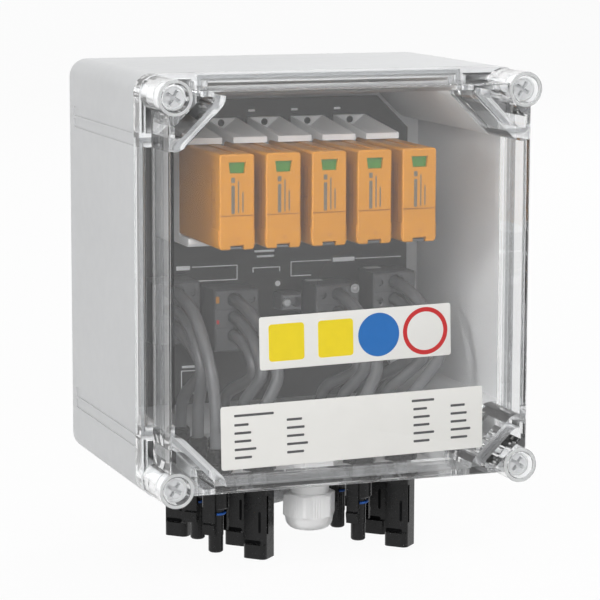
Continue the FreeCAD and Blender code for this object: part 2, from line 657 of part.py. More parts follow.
def make_lid_screw(number, sx, sz):
    """One lid screw: a broad head with a crossed drive, and a plain shank into the base."""
    owner = body("lid_screw_%d" % number)
    profile = sketch(owner, "profile", "XY_Plane")
    head_face = "(%s - head_sunk)" % LID_FRONT
    seat = "(%s - head_sunk - head_height)" % LID_FRONT
    tip = "(base_depth - shank_reach)"
    outline(profile, [
        (0, "-" + tip), ("shank_radius - 0.8", "-" + tip), ("shank_radius", "-" + tip + " - 1.5"),
        ("shank_radius", "-" + seat), ("head_radius", "-" + seat),
        ("head_radius", "-" + head_face + " + 0.5"), ("head_radius - 0.5", "-" + head_face),
        ("head_radius - 1.1", "-" + head_face), ("head_radius - 1.4", "-" + head_face + " + 0.6"),
        (0, "-" + head_face + " + 0.6")])
    turned(profile)
    drive = sketch(owner, "drive", "XZ_Plane", head_face)
    long, short = "(head_radius * 0.62)", "(head_radius * 0.15)"
    outline(drive, [
        ("-" + long, "-" + short), ("-" + short, "-" + short), ("-" + short, "-" + long),
        (short, "-" + long), (short, "-" + short), (long, "-" + short),
        (long, short), (short, short), (short, long),
        ("-" + short, long), ("-" + short, short), ("-" + long, short)])
    pocket(drive, "head_height * 0.6")
    turn = Rotation(Y_AXIS, 90 * number + 32)
    put(owner, signed(sx, SCREW_X), 0, signed(sz, SCREW_Z), turn)


def make_plate():
    """The dark mounting plate behind all the devices."""
    owner = body("mounting_plate")
    sheet_outline = sketch(owner, "sheet", "XZ_Plane", "plate_front - plate_thick")
    outline(sheet_outline, [
        (PLATE_X, PLATE_FOOT + " + plate_cut"), (PLATE_X, PLATE_TOP + " - plate_cut"),
        (PLATE_X + " - plate_cut", PLATE_TOP), ("-" + PLATE_X + " + plate_cut", PLATE_TOP),
        ("-" + PLATE_X, PLATE_TOP + " - plate_cut"), ("-" + PLATE_X, PLATE_FOOT + " + plate_cut"),
        ("-" + PLATE_X + " + plate_cut", PLATE_FOOT), (PLATE_X + " - plate_cut", PLATE_FOOT)])
    pad(sheet_outline, "plate_thick")
    holes = sketch(owner, "holes", "XZ_Plane", "plate_front")
    for across, level in POSTS:
        circle(holes, across, level, "pin_radius + 0.2")
    pocket(holes, "plate_thick + 1")


def make_plate_screws():
    """Four small screws that hold the plate on its posts."""
    screws = []
    for number, (across, level) in enumerate(POSTS, start=1):
        owner = body("plate_screw_%d" % number)
        profile = sketch(owner, "profile", "XY_Plane")
        top = "(plate_front + pin_head_height)"
        outline(profile, [
            (0, "-plate_front + pin_length"), ("pin_radius", "-plate_front + pin_length"),
            ("pin_radius", "-plate_front"), ("pin_head", "-plate_front"),
            ("pin_head", "-" + top + " + 0.8"), ("pin_head - 0.9", "-" + top), (0, "-" + top)])
        turned(profile)
        put(owner, across, 0, level)
        screws.append(owner)
    group("plate_screws", screws)


def module_at(number):
    """The middle of an arrester along X."""
    return "module_middle + (%d) * module_pitch" % (number - 3)


def make_arrester_base(number):
    """The base of an arrester: a C-shaped carrier with blade slots and a screwdriver funnel."""
    owner = body("arrester_base_%d" % number)
    low = "(plug_top - plug_height - plug_gap)"
    high = "(plug_top + plug_gap)"
    lip = "(plug_top + plug_gap + upper_arm)"
    back = "(plug_rear - plug_gap)"
    side = sketch(owner, "side", "YZ_Plane")
    outline(side, [
        ("-plate_front", low + " - lower_arm"), ("-arm_front + 1.5", low + " - lower_arm"),
        ("-arm_front", low + " - lower_arm + 1.5"), ("-arm_front", low), ("-" + back, low),
        ("-" + back, high), ("-arm_front", high), ("-arm_front", lip),
        ("-plate_front", lip + " + base_rise")])
    pad(side, "module_width", centred=True)

    # Funnel: wide and deep at the plate, running out at the lip
    half = "(module_width / 2 - 0.6)"
    rear = sketch(owner, "funnel_rear", "XZ_Plane", "plate_front + funnel_wall")
    outline(rear, [("-" + half, lip + " + base_rise"), (0, lip + " + base_rise - funnel_depth"),
                   (half, lip + " + base_rise"), (half, lip + " + base_rise + 2"),
                   ("-" + half, lip + " + base_rise + 2")])
    front = sketch(owner, "funnel_front", "XZ_Plane", "arm_front - 1")
    outline(front, [("-" + half, lip + " + 0.1"), (0, lip + " - 0.2"), (half, lip + " + 0.1"),
                    (half, lip + " + 2"), ("-" + half, lip + " + 2")])
    funnel = owner.newObject("PartDesign::SubtractiveLoft", owner.Name + "_funnel")
    funnel.Profile = rear
    funnel.Sections = [front]
    funnel.Ruled = True

    hole = sketch(owner, "screw_hole", "XZ_Plane", "plate_front + funnel_wall")
    circle(hole, 0, lip + " + base_rise - funnel_depth / 2 + 0.6", "funnel_hole")
    pocket(hole, "funnel_wall - 0.3")
    slots = sketch(owner, "blade_slots", "XZ_Plane", back)
    for side_of in (-1, 1):
        level = "(plug_top - plug_height / 2 + %d * blade_offset)" % side_of
        reach = "(blade_width / 2 + blade_gap)"
        rectangle(slots, "-blade_thick / 2 - blade_gap", "blade_thick / 2 + blade_gap",
                  level + " - " + reach, level + " + " + reach)
    pocket(slots, "blade_length + 2")
    put(owner, module_at(number))


def make_plug(number):
    """The pull-out arrester plug: rounded case, indicator window, seam, grip and latch notch."""
    owner = body("arrester_plug_%d" % number)
    half = "module_width / 2"
    foot = "(plug_top - plug_height)"
    front = value("plug_front")
    face = sketch(owner, "face", "XZ_Plane", "plug_rear")
    rectangle(face, "-" + half, half, foot, "plug_top")
    pad(face, "plug_front - plug_rear")
    dress(owner, "Fillet", "long_edges", "plug_round", lambda e: runs_along(e, Y_AXIS))

    dress(owner, "Fillet", "nose", "plug_nose", lambda e: lies_at(e, Y_AXIS, -front))
    grip = sketch(owner, "grip", "XZ_Plane", "plug_front - grip_depth")
    rectangle(grip, "-%s - grip_proud" % half, half + " + grip_proud",
              foot + " + plug_round + 0.4", foot + " + grip_height")
    pad(grip, "grip_depth - plug_nose - 0.1")

    step = sketch(owner, "top_step", "XZ_Plane", "plug_front - 6")
    rectangle(step, "-" + half + " + plug_round + 1", half + " - plug_round - rail_width",
              "plug_top - rail_step", "plug_top + 1")
    pocket(step, "plug_front - 6 - plug_rear + 1")
    seam = sketch(owner, "seam", "XZ_Plane", "plug_front")
    rectangle(seam, "-" + half + " - 1", half + " + 1",
              "plug_top - seam_drop - seam_width", "plug_top - seam_drop")
    pocket(seam, "seam_width")
    notch = sketch(owner, "notch", "XZ_Plane", "plug_front")
    rectangle(notch, "-notch_half", "notch_half", foot + " - 1", foot + " + notch_height")
    pocket(notch, "notch_depth")

    room = sketch(owner, "flag_room", "XZ_Plane", "plug_front - window_wall")
    rectangle(room, "-flag_width / 2 - flag_gap", "flag_width / 2 + flag_gap",
              flag_foot() + " - flag_travel - flag_gap",
              "plug_top - window_drop + 1")
    pocket(room, "flag_thick + 2 * flag_gap")
    window = sketch(owner, "window", "XZ_Plane", "plug_front")
    outline(window, [("-window_half_foot", "plug_top - window_drop - window_height"),
                     ("window_half_foot", "plug_top - window_drop - window_height"),
                     ("window_half_top", "plug_top - window_drop"),
                     ("-window_half_top", "plug_top - window_drop")])
    pocket(window, "window_wall + 0.1")
    put(owner, module_at(number))


def flag_foot():
    """Foot of the indicator flag at rest, behind its window."""
    return "(plug_top - window_drop - window_height / 2 - flag_height / 2)"


def make_flag(number):
    """The indicator flag, which drops behind its window when the arrester trips."""
    flag = box("status_flag_%d" % number, "flag_width", "flag_thick", "flag_height",
               (module_at(number) + " - flag_width / 2",
                "-(plug_front - window_wall - flag_gap)", flag_foot()))
    flag.Label = "status_flag_%d" % number


def make_blades(number):
    """The two contact blades at the back of a plug."""
    blades = []
    for side in (-1, 1):
        name = "blade_%d_%s" % (number, "upper" if side > 0 else "lower")
        level = "plug_top - plug_height / 2 + (%d) * blade_offset - blade_width / 2" % side
        blades.append(box(name, "blade_thick", "blade_length", "blade_width",
                          (module_at(number) + " - blade_thick / 2", "-plug_rear", level)))
    group("plug_blades_%d" % number, blades)


# Terminal blocks: place along X, top, the side on which the clamp screws sit, the column of
# connectors below, and how far each pole's cable swings to the right in its bend
BLOCKS = [
    ("block_middle - outer_block_at", "outer_block_top", 1, "-port_outer", (4.0, 3.0, 9.0)),
    ("block_middle - inner_block_at", "inner_block_top", 1, "-port_inner", (11.0, 5.0, 4.0)),
    ("block_middle + inner_block_at", "inner_block_top", -1, "port_inner", (6.0, 4.0, 4.0)),
    ("block_middle + outer_block_at", "outer_block_top", -1, "port_outer", (11.0, 7.0, 3.0)),
]


def pole_level(top, pole):
    """Height of a pole of a terminal block."""
    return "(-%s - pole_first - %d * pole_pitch)" % (top, pole)


def make_block(number, across, top, side):
    """A three-pole terminal block with flared cable entries, clamp screw holes and pole lines."""
    owner = body("terminal_block_%d" % number)
    half = "block_width / 2"
    front = "plate_front + block_depth"
    case = sketch(owner, "case", "XZ_Plane", "plate_front")
    rectangle(case, "-" + half, half, "-%s - block_height" % top, "-" + top)
    pad(case, "block_depth")
    face = -value(front)
    dress(owner, "Chamfer", "edges", "block_edge", lambda e: lies_at(e, Y_AXIS, face))

    entry_at, clamp_at = signed(-side, "pole_side"), signed(side, "clamp_side")
    for name, at, radius, depth in (
            ("entries", entry_at, "entry_radius", "entry_depth"),
            ("flares", entry_at, "entry_flare", "entry_depth / 4"),
            ("clamps", clamp_at, "clamp_radius + clamp_gap", "clamp_sunk + clamp_length")):
        holes = sketch(owner, name, "XZ_Plane", front)
        for pole in POLES:
            circle(holes, at, pole_level(top, pole), radius)
        pocket(holes, depth)
    lines = sketch(owner, "pole_lines", "XZ_Plane", front)
    for pole in POLES[:-1]:
        level = pole_level(top, pole) + " - pole_pitch / 2"
        rectangle(lines, "-" + half + " - 1", half + " + 1",
                  level + " - joint_line / 2", level + " + joint_line / 2")
    pocket(lines, "joint_line")
    put(owner, across)


def make_clamp_screws():
    """The slotted clamp screws of all the terminal blocks."""
    screws = []
    for number, (across, top, side, column, swings) in enumerate(BLOCKS, start=1):
        for pole in POLES:
            at = (across + " + " + signed(side, "clamp_side"),
                  "-(plate_front + block_depth - clamp_sunk - clamp_length)", pole_level(top, pole))
            name = "clamp_%d_%d" % (number, pole + 1)
            shank = rod(name + "_shank", "clamp_radius", "clamp_length", at, FORWARD)
            slot = box(name + "_slot", "2 * clamp_radius + 1", "0.8", "0.6",
                       (at[0] + " - clamp_radius - 0.5",
                        "-(plate_front + block_depth - clamp_sunk)", at[2] + " - 0.3"))
            screws.append(cut(name, shank, [slot]))
    group("clamp_screws", screws)


def make_earth_terminal():
    """The earth terminal on the plate, with a wire entry beside its screw."""
    owner = body("earth_terminal")
    left, right = "earth_across - earth_width / 2", "earth_across + earth_width / 2"
    front = "plate_front + earth_depth"
    case = sketch(owner, "case", "XZ_Plane", "plate_front")
    rectangle(case, left, right, "-earth_level - earth_height / 2", "-earth_level + earth_height / 2")
    pad(case, "earth_depth")
    face = -value(front)
    dress(owner, "Chamfer", "edges", "block_edge", lambda e: lies_at(e, Y_AXIS, face))
    entry = sketch(owner, "entry", "XZ_Plane", front)
    circle(entry, "earth_across + earth_side", "-earth_level", "earth_entry")
    pocket(entry, "earth_entry_depth")
    seat = sketch(owner, "seat", "XZ_Plane", front)
    circle(seat, "earth_across - earth_side", "-earth_level", "earth_screw + clamp_gap")
    pocket(seat, "earth_entry_depth")

    screw = body("earth_screw")
    profile = sketch(screw, "profile", "XY_Plane")
    top = "(plate_front + earth_depth)"
    outline(profile, [
        (0, "-" + top + " + earth_entry_depth"), ("earth_screw", "-" + top + " + earth_entry_depth"),
        ("earth_screw", "-" + top), ("earth_screw - 0.5", "-" + top + " - 0.8"),
        (0, "-" + top + " - 0.8")])
    turned(profile)
    slot = sketch(screw, "slot", "XZ_Plane", top + " + 0.8")
    rectangle(slot, "-earth_screw - 1", "earth_screw + 1", "-0.35", "0.35")
    pocket(slot, "0.9")
    put(screw, "earth_across - earth_side", 0, "-earth_level")


# Connector columns and, from the front row to the rear, what each position holds
COLUMNS = [
    ("-port_outer", ("pin", "pin", "socket")),
    ("-port_inner", ("socket", "socket", "pin")),
    ("port_inner", ("pin", "pin", "socket")),
    ("port_outer", ("socket", "socket", "pin")),
]

# Connectors are turned so that a flat faces the front left
CONNECTOR_TURN = Rotation(Z_AXIS, -45)


def tail_points():
    """Half section of what every panel connector has in and above the case wall."""
    return [
        ("collar_radius", "-collar_height"), ("collar_radius", 0), ("thread_radius", 0),
        ("thread_radius", "thread_length"), ("tail_radius", "thread_length"),
        ("tail_radius", "tail_length - 1"), ("tail_radius - 1", "tail_length"), (0, "tail_length")]


def make_socket_connector(number, column, line):
    """A panel socket: square housing with waist and foot, corner slots, and a round bore."""
    owner = body("socket_connector_%d" % number)
    half = "socket_side / 2"
    shell = sketch(owner, "shell", "XY_Plane", "-socket_length")
    rectangle(shell, "-" + half, half, "-" + half, half)
    pad(shell, "socket_length - collar_height / 2")
    dress(owner, "Fillet", "corners", "socket_round", lambda e: runs_along(e, Z_AXIS))
    core = sketch(owner, "core", "XZ_Plane")
    outline(core, [(0, "-collar_height")] + tail_points())
    turned(core)
    waist = sketch(owner, "waist", "YZ_Plane")
    for side in (-1, 1):
        near, far = half + " - socket_waist", half + " + 1"
        left, right = (near, far) if side > 0 else ("-(%s)" % far, "-(%s)" % near)
        rectangle(waist, left, right, "-socket_length + socket_foot", "-socket_neck")
    pocket(waist, "socket_side + 2", centred=True)

    # Corner slots that let the latch arms spring, in two runs with a bridge between
    slots = sketch(owner, "slots", "XY_Plane", "-socket_neck - 0.5")
    for side in (-1, 1):
        rim = "%d * (socket_side / 2 - socket_waist - 0.4)" % side
        reach = "%d * (socket_side / 2 - socket_waist - 0.4 - socket_slot)" % side
        across = "%d * (socket_side / 2 + 1)" % -side
        inner = "%d * (socket_side / 2 - 1.9)" % -side
        left, right = (across, inner) if side > 0 else (inner, across)
        low, high = (reach, rim) if side > 0 else (rim, reach)
        rectangle(slots, left, right, low, high)
    pocket(slots, "socket_length - socket_neck - socket_foot - 6")
    bore = sketch(owner, "bore", "XY_Plane", "-socket_length")
    circle(bore, 0, 0, "socket_bore")
    pocket(bore, "socket_depth", forwards=True)
    throat = sketch(owner, "throat", "XY_Plane", "-socket_length + socket_depth")
    circle(throat, 0, 0, "contact_radius + 0.1")
    pocket(throat, "5", forwards=True)
    put(owner, column, port_y(line), "-case_height / 2", CONNECTOR_TURN)


def make_pin_connector(number, column, line):
    """A panel plug: barrel, hollow pin tube and two springy latch arms with hooks."""
    owner = body("pin_connector_%d" % number)
    core = sketch(owner, "core", "XZ_Plane")
    outline(core, [
        (0, "-pin_tube_end + 10"), ("pin_tube_bore", "-pin_tube_end + 10"),
        ("pin_tube_bore", "-pin_tube_end"), ("pin_tube - 0.6", "-pin_tube_end"),
        ("pin_tube", "-pin_tube_end + 0.6"), ("pin_tube", "-pin_tube_end + pin_tip"),
        ("pin_tube + pin_step", "-pin_tube_end + pin_tip"), ("pin_tube + pin_step", "-barrel_length"),
        ("barrel_radius - 0.6", "-barrel_length"), ("barrel_radius", "-barrel_length + 0.6"),
        ("barrel_radius", "-collar_height")] + tail_points())
    turned(core)
    for side, name in ((-1, "front"), (1, "rear")):
        arm = sketch(owner, name + "_arm", "YZ_Plane")
        outer = "%d * (barrel_radius + arm_proud)" % side
        inner = "%d * (barrel_radius + arm_proud - arm_thick)" % side
        hook = "%d * (barrel_radius + arm_proud + 0.8)" % side
        outline(arm, [
            (inner, "-collar_height"), (outer, "-collar_height"), (outer, "-arm_end + 6"),
            (hook, "-arm_end + 5.2"), (outer, "-arm_end"), (inner, "-arm_end")])
        pad(arm, "arm_wide", centred=True)
    put(owner, column, port_y(line), "-case_height / 2", CONNECTOR_TURN)


def hexagon(name, flats, height, at):
    """A hexagonal prism that stands on its flats' centre."""
    thing = doc.addObject("Part::Prism", name)
    thing.Polygon = 6
    bind(thing, Circumradius="(%s) / sqrt(3)" % flats, Height=height)
    return put(thing, *at)


def make_connectors():
    """All panel connectors, with their contacts' sealing rings and lock nuts."""
    counts = {"pin": 0, "socket": 0}
    rings = []
    nuts = []
    for column, kinds in COLUMNS:
        for line, kind in enumerate(kinds):
            counts[kind] += 1
            number = counts[kind]
            depth = port_y(line)
            if kind == "pin":
                make_pin_connector(number, column, line)
                ring = doc.addObject("Part::Torus", "sealing_ring_%d" % number)
                bind(ring, Radius1="pin_tube + pin_step + ring_section + 0.03", Radius2="ring_section")
                rings.append(put(ring, column, depth, "-case_height / 2 - ring_drop"))
            else:
                make_socket_connector(number, column, line)
            name = "lock_nut_%d" % (len(nuts) + 1)
            at = (column, depth, "-case_height / 2 + wall")
            nut = hexagon(name + "_hexagon", "nut_flats", "nut_height", at)
            hole = rod(name + "_hole", "thread_radius + 0.05", "nut_height + 2",
                       (column, depth, "-case_height / 2 + wall - 1"))
            nuts.append(cut(name, nut, [hole]))
    group("sealing_rings", rings)
    group("lock_nuts", nuts)


def make_gland():
    """The cable gland: body, soft seal, dome nut outside and lock nut inside."""
    at = ("gland_across", GLAND_Y, "-case_height / 2")
    owner = body("gland_body")
    core = sketch(owner, "core", "XZ_Plane")
    outline(core, [
        ("gland_bore", "-gland_neck"), ("gland_thread - 0.6", "-gland_neck"),
        ("gland_thread", "-gland_neck + 0.6"), ("gland_thread", "gland_inside"),
        ("gland_bore", "gland_inside")])
    turned(core)
    collar = sketch(owner, "collar", "XY_Plane", "-gland_collar")
    corners = []
    for step in range(6):
        angle = 60 * step
        corners.append(("gland_flats / sqrt(3) * %.6f" % math.cos(math.radians(angle)),
                        "gland_flats / sqrt(3) * %.6f" % math.sin(math.radians(angle))))
    outline(collar, corners)
    circle(collar, 0, 0, "gland_thread - 0.5")
    pad(collar, "gland_collar")
    put(owner, *at)

    seal = body("gland_seal")
    section = sketch(seal, "section", "XZ_Plane")
    outline(section, [
        ("gland_seal_bore", "-gland_neck - 0.6"), ("gland_bore - 0.05", "-gland_neck - 0.6"),
        ("gland_bore - 0.05", "-gland_collar - 3"), ("gland_seal_bore + 1", "-gland_collar - 3"),
        ("gland_seal_bore", "-gland_collar - 5")])
    turned(section)
    put(seal, *at)

    nut = body("gland_nut")
    hexed = sketch(nut, "hexagon", "XY_Plane", "-gland_nut_end")
    outline(hexed, corners)
    pad(hexed, "gland_nut_end - gland_nut_top")
    # The dome is what is left of the hexagon inside a rounded profile
    dome = sketch(nut, "dome", "XZ_Plane")
    outline(dome, [
        ("gland_flats * 0.40", "-gland_nut_end - 1"), ("gland_flats", "-gland_nut_end - 1"),
        ("gland_flats", "-gland_nut_end + dome_height + 2"),
        ("gland_flats / sqrt(3)", "-gland_nut_end + dome_height + 1"),
        ("gland_flats * 0.50", "-gland_nut_end + dome_height"),
        ("gland_flats * 0.487", "-gland_nut_end + dome_height * 0.62"),
        ("gland_flats * 0.445", "-gland_nut_end + dome_height * 0.30"),
        ("gland_flats * 0.37", "-gland_nut_end + dome_height * 0.08"),
        ("gland_mouth + 0.4", "-gland_nut_end")])
    groove = nut.newObject("PartDesign::Groove", "gland_nut_dome_cut")
    groove.Profile = dome
    groove.ReferenceAxis = (dome, ["V_Axis"])
    groove.Angle = 360
    hollow = sketch(nut, "hollow", "XY_Plane", "-gland_nut_top")
    circle(hollow, 0, 0, "gland_thread + gland_nut_gap")
    pocket(hollow, "gland_nut_end - gland_nut_top - gland_nut_wall")
    mouth = sketch(nut, "mouth", "XY_Plane", "-gland_nut_top")
    circle(mouth, 0, 0, "gland_mouth")
    pocket(mouth, "gland_nut_end - gland_nut_top + 2")
    put(nut, *at)

    lock_at = (at[0], at[1], "-case_height / 2 + wall")
    lock = hexagon("gland_lock_hexagon", "gland_flats + 2", "5", lock_at)
    hole = rod("gland_lock_hole", "gland_thread + 0.05", "8", (at[0], at[1], "-case_height / 2"))
    cut("gland_lock_nut", lock, [hole])


def make_vent():
    """The pressure vent: a short threaded stem, a collar and a domed cap."""
    owner = body("vent_plug")
    section = sketch(owner, "section", "XZ_Plane")
    outline(section, [
        (0, "-vent_end"), ("vent_radius * 0.45", "-vent_end"),
        ("vent_radius * 0.78", "-vent_end + vent_radius * 0.12"),
        ("vent_radius * 0.94", "-vent_end + vent_radius * 0.34"),
        ("vent_radius", "-vent_end + vent_radius * 0.7"),
        ("vent_radius", "-5.6"), ("vent_radius - 1", "-5"), ("vent_radius - 1", "-4"),
        ("vent_radius + 0.6", "-3.6"), ("vent_radius + 0.6", 0), ("vent_thread", 0),
        ("vent_thread", "wall + 5"), (0, "wall + 5")])
    turned(section)
    put(owner, "vent_across", VENT_Y, "-case_height / 2")


# How far each pole's cable stands out in front of its block
CABLE_REACH = (46.0, 35.0, 25.0)


def cable_route(block, pole):
    """Points of one cable: out of its entry, over in a bend and down to its connector."""
    across, top, side, column, swings = block
    face = value("plate_front + block_depth")
    start_x = value("%s - %d * pole_side" % (across, side))
    level = value(pole_level(top, pole))
    port = Vector(value(column), value(port_y(pole)), value("tail_length - case_height / 2"))
    above = port + Vector(0, 0, value("tail_length"))
    reach = CABLE_REACH[pole]
    swing = swings[pole]
    crest_y = -face - reach
    crest_z = level - 0.62 * reach
    down_y = crest_y + 0.45 * (port.y - crest_y)
    return [
        Vector(start_x, -face + value("entry_depth"), level),
        Vector(start_x, -face - 0.55 * reach, level),
        Vector(start_x + 0.75 * swing, crest_y, crest_z),
        Vector(0.5 * (start_x + swing + port.x), down_y, 0.5 * (crest_z + above.z)),
        above,
        port]


def rounded_path(points):
    """Straight runs joined by tangent arcs, each arc as large as its two runs allow."""
    edges = []
    radii = []
    start = points[0]
    for before, corner, after in zip(points, points[1:], points[2:]):
        inward, outward = corner - before, after - corner
        turn = inward.getAngle(outward)
        shorter = min(inward.Length, outward.Length)
        radius = 0.45 * shorter / math.tan(turn / 2)
        setback = radius * math.tan(turn / 2)
        inward.normalize()
        outward.normalize()
        begin, end = corner - inward * setback, corner + outward * setback
        bisector = (outward - inward).normalize()
        centre = corner + bisector * (radius / math.cos(turn / 2))
        middle = centre - bisector * radius
        edges.append(Part.LineSegment(start, begin).toShape())
        edges.append(Part.Arc(begin, middle, end).toShape())
        radii.append(radius)
        start = end
    edges.append(Part.LineSegment(start, points[-1]).toShape())
    return Part.Wire(edges), radii


def make_cables():
    """The panel cables, three from each terminal block to its column of connectors."""
    radius = value("cable_radius")
    for number, block in enumerate(BLOCKS, start=1):
        tubes = []
        for pole in POLES:
            points = cable_route(block, pole)
            path, radii = rounded_path(points)
            section = Part.Wire(Part.makeCircle(radius, points[0], points[1] - points[0]))
            tube = path.makePipeShell([section], True, False)
            share = tube.Volume / (math.pi * radius ** 2 * path.Length)
            print("cable %d.%d length %.0f radii %s volume share %.3f" % (
                number, pole + 1, path.Length, " ".join("%.0f" % r for r in radii), share))
            tubes.append(tube)
        cables = doc.addObject("Part::Feature", "cables_%d" % number)
        cables.Label = "cables_%d" % number
        cables.Shape = Part.Compound(tubes)
        cables.Placement = Placement()


def make_all():
    """Every sub-part of the box."""
    make_base()
    make_lid()
    make_seal()
    for number, (sx, sz) in enumerate(CORNERS, start=1):
        make_lid_screw(number, sx, sz)
    make_plate()
    make_plate_screws()
    for number in MODULES:
        make_arrester_base(number)
        make_plug(number)
        make_flag(number)
        make_blades(number)
    for number, (across, top, side, column, swings) in enumerate(BLOCKS, start=1):
        make_block(number, across, top, side)
    make_clamp_screws()
    make_earth_terminal()
    make_connectors()
    make_gland()
    make_vent()
    make_cables()


NODES = (
    ["base_housing", "clear_lid", "lid_gasket", "mounting_plate", "plate_screws", "clamp_screws",
     "earth_terminal", "earth_screw", "sealing_rings", "lock_nuts", "gland_body", "gland_seal",
     "gland_nut", "gland_lock_nut", "vent_plug"]
    + ["lid_screw_%d" % n for n in (1, 2, 3, 4)]
    + ["arrester_base_%d" % n for n in MODULES]
    + ["arrester_plug_%d" % n for n in MODULES]
    + ["status_flag_%d" % n for n in MODULES]
    + ["plug_blades_%d" % n for n in MODULES]
    + ["terminal_block_%d" % n for n in (1, 2, 3, 4)]
    + ["cables_%d" % n for n in (1, 2, 3, 4)]
    + ["socket_connector_%d" % n for n in range(1, 7)]
    + ["pin_connector_%d" % n for n in range(1, 7)])


def check_and_write():
    """Stop on any failed object or bad shape, then write one file for each sub-part."""
    doc.recompute()
    for thing in doc.Objects:
        bad = [word for word in thing.State if word in ("Invalid", "Error")]
        assert not bad, "%s is %s" % (thing.Name, bad)
    pieces = {}
    for label in NODES:
        found = doc.getObjectsByLabel(label)
        assert len(found) == 1, "%s is not one object" % label
        shape = found[0].Shape
        assert not shape.isNull() and shape.isValid() and shape.Solids, label + " has no valid solid"
        pieces[label] = shape
    os.makedirs("parts", exist_ok=True)
    for label, shape in pieces.items():
        shape.exportStep("parts/%s.step" % label)
    print("wrote %d sub-parts" % len(pieces))


make_all()
check_and_write()
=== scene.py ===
"""The look of the photovoltaic junction box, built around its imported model.

Lengths in the tables below are millimetres in the frame of the box: +X to the right seen from the
front, +Z up, the front faces -Y. Meshes are written in metres.
"""
import json
import math

import bpy
import numpy as np
from bpy.props import (BoolProperty, FloatProperty, FloatVectorProperty, IntProperty,
                       PointerProperty)
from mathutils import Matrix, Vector


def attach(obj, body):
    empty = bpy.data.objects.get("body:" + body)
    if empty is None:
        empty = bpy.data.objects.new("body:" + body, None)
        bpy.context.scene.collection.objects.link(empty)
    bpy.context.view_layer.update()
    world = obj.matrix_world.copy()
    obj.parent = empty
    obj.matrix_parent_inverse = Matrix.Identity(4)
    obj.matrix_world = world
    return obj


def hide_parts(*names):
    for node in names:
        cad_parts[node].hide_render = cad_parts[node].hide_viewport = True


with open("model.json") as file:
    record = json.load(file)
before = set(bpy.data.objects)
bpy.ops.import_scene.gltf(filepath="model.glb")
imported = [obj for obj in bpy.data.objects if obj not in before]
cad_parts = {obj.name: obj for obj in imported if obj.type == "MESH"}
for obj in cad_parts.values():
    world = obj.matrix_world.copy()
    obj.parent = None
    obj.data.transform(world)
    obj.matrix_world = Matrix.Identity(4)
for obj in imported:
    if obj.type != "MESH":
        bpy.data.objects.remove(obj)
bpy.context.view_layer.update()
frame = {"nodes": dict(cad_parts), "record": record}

bl_info = {
    "name": "Photovoltaic junction box",
    "version": (1, 0, 0),
    "blender": (4, 5, 0),
    "location": "3D View > Sidebar > Junction Box",
    "description": "Finishes, labels, cables and fine parts of a wall-mounted junction box",
    "category": "Object",
}

MM = 0.001
MODULES = range(1, 6)


def linear(red, green, blue):
    """A colour read from a screen, 0 to 255 a channel, as the light it stands for."""
    channels = np.array([red, green, blue]) / 255
    low, high = channels / 12.92, ((channels + 0.055) / 1.055) ** 2.4
    return tuple(float(v) for v in np.where(channels <= 0.04045, low, high))


def colour(name, red, green, blue):
    """A colour property with a default read from a screen."""
    return FloatVectorProperty(name=name, description="Base colour of the " + name.lower(),
                               subtype="COLOR", size=3, min=0, max=1,
                               default=linear(red, green, blue))


class JunctionBoxColours(bpy.types.PropertyGroup):
    """Colours that a user would change."""
    case: colour("Case", 205, 206, 207)
    plate: colour("Mounting plate", 40, 41, 42)
    arrester_base: colour("Arrester bases", 234, 235, 236)
    plug: colour("Arrester plugs", 184, 121, 2)
    plug_shade: colour("Plug groove shade", 140, 84, 28)
    flag: colour("Indicator flags", 64, 122, 38)
    tripped: colour("Tripped indicators", 190, 30, 30)
    block: colour("Terminal blocks", 88, 89, 91)
    black_parts: colour("Panel connectors", 11, 11, 12)
    cables: colour("Cables", 98, 99, 101)
    rings: colour("Sealing rings", 30, 90, 175)
    gland: colour("Cable gland", 240, 240, 240)
    yellow_field: colour("Yellow fields", 250, 224, 30)
    blue_field: colour("Blue field", 30, 112, 190)
    red_field: colour("Red ring", 206, 38, 40)
    label: colour("Labels", 243, 242, 238)
    print_dark: colour("Dark print", 84, 84, 86)
    plug_ink: colour("Print on the plugs", 96, 88, 76)
    print_light: colour("Light print", 246, 247, 248)


class JunctionBoxSizes(bpy.types.PropertyGroup):
    """Sizes that a user would change."""
    lid_gap: FloatProperty(
        name="Lid gap", description="How far the drawn lid keeps inside its packed form",
        default=0.05 * MM, unit="LENGTH", min=0)
    label_thickness: FloatProperty(
        name="Label thickness", description="Thickness of the adhesive labels on the lid",
        default=0.15 * MM, unit="LENGTH", min=0)
    ink_thickness: FloatProperty(
        name="Print thickness", description="How far printed fields and lines stand proud",
        default=0.05 * MM, unit="LENGTH", min=0)
    cable_radius: FloatProperty(
        name="Cable radius", description="Radius of the panel cables with their sheath",
        default=3.0 * MM, unit="LENGTH", min=0)
    cable_stations: IntProperty(
        name="Cable stations", description="Rings along each cable", default=72, min=8)
    nut_ribs: IntProperty(
        name="Gland nut ribs", description="Fine grip ribs on each flat of the gland nut",
        default=9, min=1)
    rib_depth: FloatProperty(
        name="Rib depth", description="Depth of the grooves between those ribs",
        default=0.35 * MM, unit="LENGTH", min=0)


